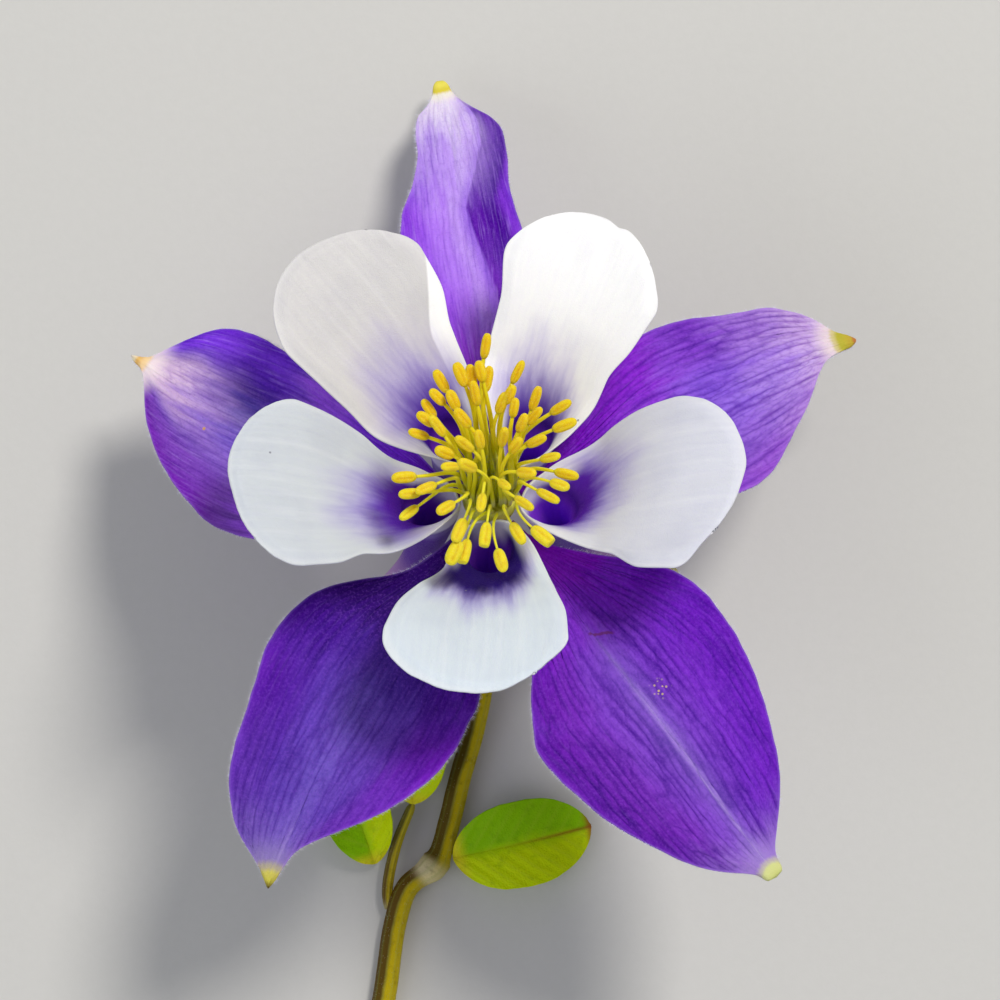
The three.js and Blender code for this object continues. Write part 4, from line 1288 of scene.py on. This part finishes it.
def stamen_corners(foot, end, x, up, draw):
    """A filament's four corners and its anther's tip. The anther nods outwards, seen from above."""
    seen = leaned(end) * (1 - 0.5 * ANTHER_LENGTH / np.linalg.norm(end))
    outwards = np.array([x, up - TUFT_MIDDLE, 0])
    spread = np.linalg.norm(outwards)
    nod = math.radians(np.interp(spread, *ANTHER_NOD) + draw.uniform(-8, 8))
    outwards = unit(outwards) * math.sin(nod) + np.array([0, 0, math.cos(nod)])
    turn = draw.uniform(-0.25, 0.25)
    axis = unit(outwards + turn * np.cross(outwards, [0, 0, 1]))
    base, tip = seen - 0.5 * ANTHER_LENGTH * axis, seen + 0.5 * ANTHER_LENGTH * axis
    start = leaned(foot)
    way = base - start
    rise = np.linalg.norm(way)
    lift = unit(leaned([0.15 * foot[0], 0.15 * foot[1], 1]) + 0.9 * way / rise)
    return [start, start + 0.4 * rise * lift, base - 0.26 * rise * axis, base, tip]


def ring_of_feet(ends, radius):
    """Feet on a ring, in the order of the anthers round the flower, so that none cross."""
    order = sorted(range(len(ends)), key=lambda i: turn_of(ends[i]))
    step = 360 / len(order)
    start = sum(turn_of(ends[i]) - step * k for k, i in enumerate(order)) / len(order)
    return {i: on_face(start + step * k, radius, STAMEN_FOOT) for k, i in enumerate(order)}


def stamen_curves():
    """The corners of each stamen's curve. The more upright ones stand on the inner ring."""
    ends = [anther_end(x, up, i) for i, (x, up) in enumerate(ANTHERS)]
    upright = sorted(range(len(ends)), key=lambda i: math.hypot(*ends[i][:2]))
    feet, first = {}, 0
    for count, radius in STAMEN_RINGS:
        members = upright[first:first + count]
        ring = ring_of_feet([ends[i] for i in members], radius)
        feet.update({members[k]: foot for k, foot in ring.items()})
        first += count
    more = [anther_end(x, up, i) for i, (x, up) in enumerate(MORE_ANTHERS)]
    more_feet = ring_of_feet(more, MORE_STAMENS_RING)
    draw = np.random.default_rng(SEEDS["curves"])
    return [
        stamen_corners(ring[i], end, *places[i], draw)
        for places, group, ring in ((ANTHERS, ends, feet), (MORE_ANTHERS, more, more_feet))
        for i, end in enumerate(group)
    ]


def anther_model(material):
    """A golden anther: a ball drawn long, with a groove down each side between its two lobes."""
    deselect()
    bpy.ops.mesh.primitive_uv_sphere_add(segments=24, ring_count=16, radius=1)
    anther = bpy.context.object
    anther.data.materials.append(material)
    bpy.ops.object.mode_set(mode="EDIT")
    bpy.ops.transform.resize(value=ANTHER_HALVES)
    bpy.ops.object.mode_set(mode="OBJECT")
    x, y, z = coordinates(anther).T
    level = np.abs(z) / ANTHER_HALVES[2]
    fuller = (1 - level ** 2.8).clip(0) ** 0.45 / np.maximum((1 - level ** 2).clip(0) ** 0.5, 0.1)
    groove = hill(x, 0, 0.13) * smooth((0.85 - level) / 0.3)
    z = z + STAMEN_LENGTH + ANTHER_HALVES[2]
    set_coordinates(anther, np.stack([x * fuller, y * fuller * (1 - 0.3 * groove), z], -1))
    mark(anther, "anther", np.ones_like(x), 0 * x, groove)
    bpy.ops.object.shade_smooth()
    return anther


def stamen_model(sizes, material):
    """One upright stamen, as long as the unit length of all of them, to be bent and copied."""
    thick = sizes.filament_width / MM / 2
    shares = np.linspace(0, 1, 26)
    profile = [(thick * (0.55 + 0.45 * (1 - s) ** 0.8), s * STAMEN_LENGTH) for s in shares]
    profile += [(0.4 * thick, STAMEN_LENGTH + 0.4)]
    filament = drawn_up("stamen_model", profile, 8, material)
    mark(filament, "anther", *np.zeros((3, len(filament.data.vertices))))
    return joined(filament, anther_model(material))


def stamen_pieces(sizes, material):
    model = stamen_model(sizes, material)
    upright = coordinates(model)
    facts = np.empty(len(upright) * 3, np.float32)
    model.data.attributes["anther"].data.foreach_get("vector", facts)
    anther, _, groove = facts.reshape(-1, 3).T
    on_anther = anther > 0.5
    foot = np.array([0, 0, STAMEN_LENGTH])
    draw = np.random.default_rng(SEEDS["stamens"])
    for i, corners in enumerate(stamen_curves()):
        number = f"{i + 1:02d}"
        piece = copied(model, f"ripe_stamen_{number}")
        shown = corners[3][1]
        ripe = (shown - RIPE_ANTHERS[0]) / RIPE_ANTHERS[1] + draw.uniform(-0.25, 0.25)
        ripe = np.clip(ripe, 0, 1)
        front = smooth((FRONT_ANTHERS[0] - shown) / FRONT_ANTHERS[1])
        size = draw.uniform(0.8, 1.04) * (1 + 0.16 * front)
        slim = draw.uniform(0.74, 0.98) * (1 + 0.32 * front)
        twist = draw.uniform(-0.4, 0.4)
        points = upright.copy()
        x, y, z = (points[on_anther] - foot).T
        cos, sin = math.cos(twist), math.sin(twist)
        x, y, z = slim * (x * cos - y * sin), slim * (x * sin + y * cos), z * size
        points[on_anther] = np.stack([x, y, z], -1) + foot
        points[~on_anther, :2] *= 0.95 + 0.6 * ripe
        mark(piece, "anther", anther, np.full_like(anther, ripe), groove)
        line, _ = bezier(corners[:4], np.linspace(0, 1, 34))
        length = steps_of(line).sum()
        line = np.vstack([line, np.linspace(line[-1], corners[4], 6)[1:]])
        # the filament becomes as long as its curve, and the anther moves on with its end
        z = points[:, 2]
        points[:, 2] = np.where(
            z < STAMEN_LENGTH, z * length / STAMEN_LENGTH, z - STAMEN_LENGTH + length
        )
        set_coordinates(piece, points)
        bend_along(piece, length + ANTHER_LENGTH, FACE + line * MM, (0, 0, 1))
        settle(piece, "stamen", *([f"stamen_{number}"] if i < len(ANTHERS) else []))
    bpy.data.objects.remove(model)


# ---- stem and bract ----
def stalk_piece(name, node, profile, line, sides, ribs, rib_depth, down, material):
    """A round stalk with fine ribs and short hairs, laid along its line."""
    piece = drawn_up(name, profile, sides, material)
    x, y, z = coordinates(piece).T
    grow = 1 + rib_depth * np.cos(ribs * np.arctan2(x, y))
    set_coordinates(piece, np.stack([x * grow, y * grow, z], -1))
    joined(piece, down)
    bend_along(piece, profile[-1][1], line, (0, 0, 1))
    # hairs under a stalk that lies on the table are pressed flat
    points = coordinates(piece)
    points[:, 2] = np.maximum(points[:, 2], 0)
    set_coordinates(piece, points)
    settle(piece, "stem", node)


def stem_line():
    """The stem's line, and how far along it each of its points is, in millimetres."""
    seat = from_flower([[0, 0, 2.6 * STEM_SEAT], [0, 0, STEM_SEAT + 0.35]])
    line = centripetal([*from_table(STEM_LINE), *seat], 12)
    return line, np.concatenate([[0], np.cumsum(steps_of(line) / MM)])


def stem_piece(material, hairs):
    line, way = stem_line()
    share = np.linspace(0, 1, len(line))
    node, node_radius, spread = STEM_NODE
    radius = STEM_RADIUS * (1 - 0.1 * share) + (node_radius - STEM_RADIUS) * hill(share, node, spread)
    radius += 0.16 * hill(share, node + 0.014, 0.005) + 0.02 * ripple(share * 60, 1.0)
    radius += 0.25 * smooth((share - 0.97) / 0.03)
    profile = list(zip(radius, way))
    profile[0] = (0.9 * STEM_RADIUS, 0.0)
    down = down_round("stem_down", profile, hairs, **STEM_DOWN)
    stalk_piece("flower_stem", "stem", profile, line, 36, 9, 0.025, down, material)


def side_stalk_piece(material, hairs):
    line = centripetal(from_table(SIDE_STALK_LINE), 24)
    length = steps_of(line).sum() / MM
    shares = np.linspace(0, 1, 40)
    profile = list(zip(through(*SIDE_STALK_WIDTHS, shares), shares * length))
    down = down_round("bract_down", profile, hairs, **BRACT_DOWN)
    stalk_piece("bract_stalk", "leaflet_stalk", profile, line, 20, 5, 0.03, down, material)


def leaflet_piece(where, leaflet, seed, material):
    """An elliptic leaflet, folded a little along its midrib, with side veins that arch forward."""
    name = f"{where}_bract_leaflet"
    piece, side, row = new_grid(name, LEAFLET_COLUMNS, LEAFLET_ROWS, material)
    share = 0.5 - 0.5 * np.cos(math.pi * row / LEAFLET_ROWS)
    start, end = np.array(leaflet["start"]), np.array(leaflet["end"])
    along = end - start
    length = np.linalg.norm(along)
    across = unit(np.array([along[1], -along[0], 0]))
    belly = (1 - np.abs(2 * share - 1) ** 2.3).clip(0) ** 0.6
    waver = 1 + 0.012 * ripple(share * 16, seed + np.sign(side)) * smooth(share / 0.15)
    half = np.maximum(0.35 * (1 - share), leaflet["width"] * belly * waver)
    aside = side * half
    rise = leaflet["arch"] * np.sin(math.pi * share) + LEAFLET_FOLD * np.abs(aside)
    # a side vein leaves the midrib every few millimetres and runs forward to the margin
    number = (share * length - 0.95 * np.abs(aside) - 0.25 * side) / LEAFLET_VEIN_SPACING
    vein = hill(number, np.round(number), 0.09) * smooth(np.abs(aside) / 0.4)
    rib = hill(aside, 0, 0.35)
    relief = -0.05 * vein - 0.14 * rib + 0.05 * np.cos(2 * math.pi * number) * smooth(np.abs(aside))
    relief += 0.35 * grain(share * length * 0.16, aside * 0.2, seed) * smooth(share / 0.2)
    point = start + np.outer(share, along) + np.outer(aside, across)
    point[:, 2] += rise + relief
    set_coordinates(piece, from_table(point))
    margin = (1 - np.abs(side)) * half
    mark(piece, "aside", aside)
    mark(piece, "part", side, share, vein)
    give_thickness(piece, LEAFLET_THICKNESS, 0.36 + 0.34 * smooth(margin / 1.2) + 0.3 * rib)
    settle(piece, "leaf", f"leaflet_{where}")


# ---- the sizes and colours that a user would change ----
def a_length(name, description, millimetres, least=0.0):
    return bpy.props.FloatProperty(
        name=name, description=description, default=millimetres * MM, min=least * MM,
        unit="LENGTH", subtype="DISTANCE", precision=5,
    )


def a_colour(name, description, digits):
    return bpy.props.FloatVectorProperty(
        name=name, description=description, default=linear(digits), subtype="COLOR", min=0, max=1
    )


class SepalSettings(bpy.types.PropertyGroup):
    vein_spacing: a_length("Vein spacing", "Between two veins where a sepal is widest", 0.82, 0.4)
    vein_depth: a_length("Vein depth", "How deep the veins lie in the skin", 0.13)
    vein: a_colour("Vein tint", "Colour that the veins are darkened by", "#8c44b8")
    back: a_colour("Back", "Colour of the backs of the sepals", "#7a62ac")
    fringe: a_colour("Fringe", "Colour of the fine hairs on the margins", "#ece4f8")


class PetalSettings(bpy.types.PropertyGroup):
    vein_depth: a_length("Vein depth", "How deep the faint veins lie in the skin", 0.01)
    rim_curl: a_length("Rim curl", "How far the rim rolls back", 0.25)
    haze: a_colour("Haze", "Lilac where the violet fades into the white", "#967ed8")
    throat: a_colour("Throat", "Violet of the throat", "#5a1cb4")
    # the violet inside the spur is painted lighter than the throat, to lift the shade there
    depth: a_colour("Depth", "Indigo down inside the spur", "#9844e4")
    streak: a_colour("Streaks", "Colour of the faint veins", "#9484dc")


class MiddleSettings(bpy.types.PropertyGroup):
    filament_width: a_length("Filament width", "Width of a filament at its foot", 0.44)
    gold: a_colour("Gold", "Colour of the ripest anthers", "#ffd010")
    lemon: a_colour("Lemon", "Colour of the youngest anthers", "#fae22c")
    foot: a_colour("Filament foot", "Colour of a filament at its foot", "#f0f008")
    # the light side of the pistils and PISTIL_SHADE are painted light and painted shade
    green: a_colour("Pistil green", "Light side of the pistils", "#f4f830")
    down: a_colour("Pistil down", "Colour of the fine hairs on the pistils", "#dfe2c0")


class StemSettings(bpy.types.PropertyGroup):
    # the stem's light and dark sides are painted light and painted shade
    light: a_colour("Light side", "Yellow-olive side of the stem", "#c8b408")
    dark: a_colour("Dark side", "Brown-olive side of the stem", "#544204")
    down: a_colour("Down", "Colour of the fine hairs on the stem", "#c8c49c")
    shaded: a_colour("Shaded half", "Mid green half of a leaflet", "#8cc400")
    lit: a_colour("Lit half", "Yellow-green half of a leaflet", "#cce400")


class StageSettings(bpy.types.PropertyGroup):
    floor: a_colour("Floor", "Colour of the floor", "#cdccc8")
    camera_distance: a_length("Camera distance", "From the middle of the face up to the camera", 400)
    key_light: bpy.props.FloatProperty(
        name="Key light", description="Power of the main light", default=8.0, min=0, unit="POWER"
    )
    fill_light: bpy.props.FloatProperty(
        name="Fill light", description="Strength of the light from all round", default=0.38, min=0
    )


class ColumbineSettings(bpy.types.PropertyGroup):
    sepals: bpy.props.PointerProperty(type=SepalSettings)
    petals: bpy.props.PointerProperty(type=PetalSettings)
    middle: bpy.props.PointerProperty(type=MiddleSettings)
    stem: bpy.props.PointerProperty(type=StemSettings)
    stage: bpy.props.PointerProperty(type=StageSettings)


# ---- operators ----
class COLUMBINE_OT_sepals(bpy.types.Operator):
    """Builds the five violet sepals with their veins and fringes"""

    bl_idname = "columbine.sepals"
    bl_label = "Sepals"

    def execute(self, context):
        settings = context.scene.columbine.sepals
        skins = {where: sepal_material(where, look, settings) for where, look in SEPAL_COLOURS.items()}
        hairs = hair_material("sepal fringe", settings.fringe)
        for seed, (where, sepal) in enumerate(SEPALS.items(), SEEDS["sepal"]):
            sepal_piece(where, sepal, seed, settings, skins[where], hairs)
        return {"FINISHED"}


class COLUMBINE_OT_petals(bpy.types.Operator):
    """Builds the five white petals, each with its hollow spur"""

    bl_idname = "columbine.petals"
    bl_label = "Petals"

    def execute(self, context):
        settings = context.scene.columbine.petals
        skins = {where: petal_material(where, look, settings) for where, look in PETAL_COLOURS.items()}
        for seed, (where, petal) in enumerate(PETALS.items(), SEEDS["petal"]):
            petal_piece(where, petal, seed, settings, skins[where])
        return {"FINISHED"}


class COLUMBINE_OT_pistils(bpy.types.Operator):
    """Builds the flower's seat and the five downy pistils on it"""

    bl_idname = "columbine.pistils"
    bl_label = "Seat and pistils"

    def execute(self, context):
        settings = context.scene.columbine.middle
        skin = green_material("pistil skin", PISTIL, settings.green, PISTIL_SHADE)
        receptacle_piece(skin)
        carpel_pieces(skin, hair_material("pistil down", settings.down))
        return {"FINISHED"}


class COLUMBINE_OT_stamens(bpy.types.Operator):
    """Builds the tuft of stamens, each bent to its own place"""

    bl_idname = "columbine.stamens"
    bl_label = "Stamens"

    def execute(self, context):
        settings = context.scene.columbine.middle
        stamen_pieces(settings, stamen_material(settings))
        return {"FINISHED"}


class COLUMBINE_OT_stem(bpy.types.Operator):
    """Builds the stem and the side stalk of the bract, both downy"""

    bl_idname = "columbine.stem"
    bl_label = "Stem"

    def execute(self, context):
        settings = context.scene.columbine.stem
        down = hair_material("stem down", settings.down)
        way = stem_line()[1]
        node = way[round(STEM_NODE[0] * (len(way) - 1))] / way[-1]
        stops = (
            f"0 #c2c486 .9, .012 #6c7026 .2, {node - 0.026} #6c4a18 .2, {node - 0.012} #d8cca0 .8, "
            f"{node - 0.002} #cfc494 .8, {node + 0.012} #8a7a20 .1, .92 #8c842c .1, 1 #8c9440 .5"
        )
        skin = green_material("stem skin", stops, settings.light, settings.dark)
        side_skin = green_material("bract stalk skin", BRACT_STALK, settings.light, settings.dark)
        stem_piece(skin, down)
        side_stalk_piece(side_skin, down)
        return {"FINISHED"}


class COLUMBINE_OT_leaflets(bpy.types.Operator):
    """Builds the three leaflets of the bract"""

    bl_idname = "columbine.leaflets"
    bl_label = "Leaflets"

    def execute(self, context):
        material = leaf_material(context.scene.columbine.stem)
        for seed, (where, leaflet) in enumerate(LEAFLETS.items(), SEEDS["leaflet"]):
            leaflet_piece(where, leaflet, seed, material)
        return {"FINISHED"}


class COLUMBINE_OT_stage(bpy.types.Operator):
    """Sets up the pale floor, the soft lights and the camera"""

    bl_idname = "columbine.stage"
    bl_label = "Stage"

    def execute(self, context):
        settings = context.scene.columbine.stage
        add_floor(settings)
        add_lights(settings)
        add_camera(settings)
        return {"FINISHED"}


# ---- stage ----
FLOOR_SIZE = 3.0
LENS = 144.0
SENSOR = 36.0
CAMERA_ASIDE = (1.0, -0.8)  # from the middle of the face, in millimetres
KEY_PLACE = (0.35, 0.5, 0.85)  # from the middle of the face, in metres
KEY_SIZE = 0.3
KEY_COLOUR = (1.0, 0.97, 0.92)
SIDE_PLACE = (-0.7, -0.35, 0.6)
SIDE_SIZE = 0.9
SIDE_SHARE = 0.3  # of the key light's power
SIDE_COLOUR = (0.9, 0.94, 1.0)
SKY_COLOUR = (0.93, 0.95, 1.0, 1)


def add_floor(settings):
    deselect()
    bpy.ops.mesh.primitive_plane_add(size=FLOOR_SIZE, location=(0, 0, 0))
    floor = bpy.context.object
    floor.name = "floor"
    material, w, shader = new_material("floor paper", Specular_IOR_Level=0.2)
    fibres = w.noise(900, 5.0, 0.7)
    paler = [min(1, 1.02 * c) for c in settings.floor]
    paper = w.mix(fibres.fade(0.3, 0.7), settings.floor, paler)
    w.finish(shader, paper, fibres.fade(0.2, 0.8, 0.75, 0.95), fibres, 0.02)
    floor.data.materials.append(material)


def add_area_light(name, place, size, power, colour):
    """A round soft light at a place from the middle of the face, turned to it."""
    light = bpy.data.lights.new(name, "AREA")
    light.shape = "DISK"
    light.size = size
    light.energy = power
    light.color = colour
    lamp = bpy.data.objects.new(name, light)
    lamp.location = FACE + np.array(place)
    lamp.rotation_euler = Vector(-np.array(place)).to_track_quat("-Z", "Y").to_euler()
    bpy.context.collection.objects.link(lamp)


def add_lights(settings):
    add_area_light("key light", KEY_PLACE, KEY_SIZE, settings.key_light, KEY_COLOUR)
    add_area_light("side light", SIDE_PLACE, SIDE_SIZE, SIDE_SHARE * settings.key_light, SIDE_COLOUR)
    world = bpy.data.worlds.new("studio")
    world.use_nodes = True
    background = world.node_tree.nodes["Background"]
    background.inputs["Color"].default_value = SKY_COLOUR
    background.inputs["Strength"].default_value = settings.fill_light
    bpy.context.scene.world = world
    bpy.context.scene.view_settings.view_transform = "Standard"


def add_camera(settings):
    data = bpy.data.cameras.new("camera")
    data.lens = LENS
    data.sensor_width = SENSOR
    data.clip_start = 0.01
    camera = bpy.data.objects.new("camera", data)
    camera.location = FACE + np.array([*CAMERA_ASIDE, 0]) * MM + [0, 0, settings.camera_distance]
    bpy.context.collection.objects.link(camera)
    bpy.context.scene.camera = camera


# ---- panel and registration ----
BUILD_STEPS = (
    COLUMBINE_OT_stage, COLUMBINE_OT_sepals, COLUMBINE_OT_petals, COLUMBINE_OT_pistils,
    COLUMBINE_OT_stamens, COLUMBINE_OT_stem, COLUMBINE_OT_leaflets,
)


class COLUMBINE_PT_panel(bpy.types.Panel):
    """Lists the pieces of the flower and the values that shape them"""

    bl_idname = "COLUMBINE_PT_panel"
    bl_label = "Columbine"
    bl_space_type = "VIEW_3D"
    bl_region_type = "UI"
    bl_category = "Columbine"

    def draw(self, context):
        settings = context.scene.columbine
        for step in BUILD_STEPS:
            self.layout.operator(step.bl_idname)
        for name in ColumbineSettings.__annotations__:
            box = self.layout.box()
            box.label(text=name.capitalize())
            group = getattr(settings, name)
            for value in group.__annotations__:
                box.prop(group, value)


CLASSES = (
    SepalSettings, PetalSettings, MiddleSettings, StemSettings, StageSettings, ColumbineSettings,
    *BUILD_STEPS, COLUMBINE_PT_panel,
)


def register():
    for cls in CLASSES:
        bpy.utils.register_class(cls)
    bpy.types.Scene.columbine = bpy.props.PointerProperty(type=ColumbineSettings)


def unregister():
    del bpy.types.Scene.columbine
    for cls in reversed(CLASSES):
        bpy.utils.unregister_class(cls)


def main():
    register()
    make_groups()
    for step in BUILD_STEPS:
        family, name = step.bl_idname.split(".")
        getattr(getattr(bpy.ops, family), name)()
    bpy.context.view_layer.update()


if __name__ == "__main__":
    main()
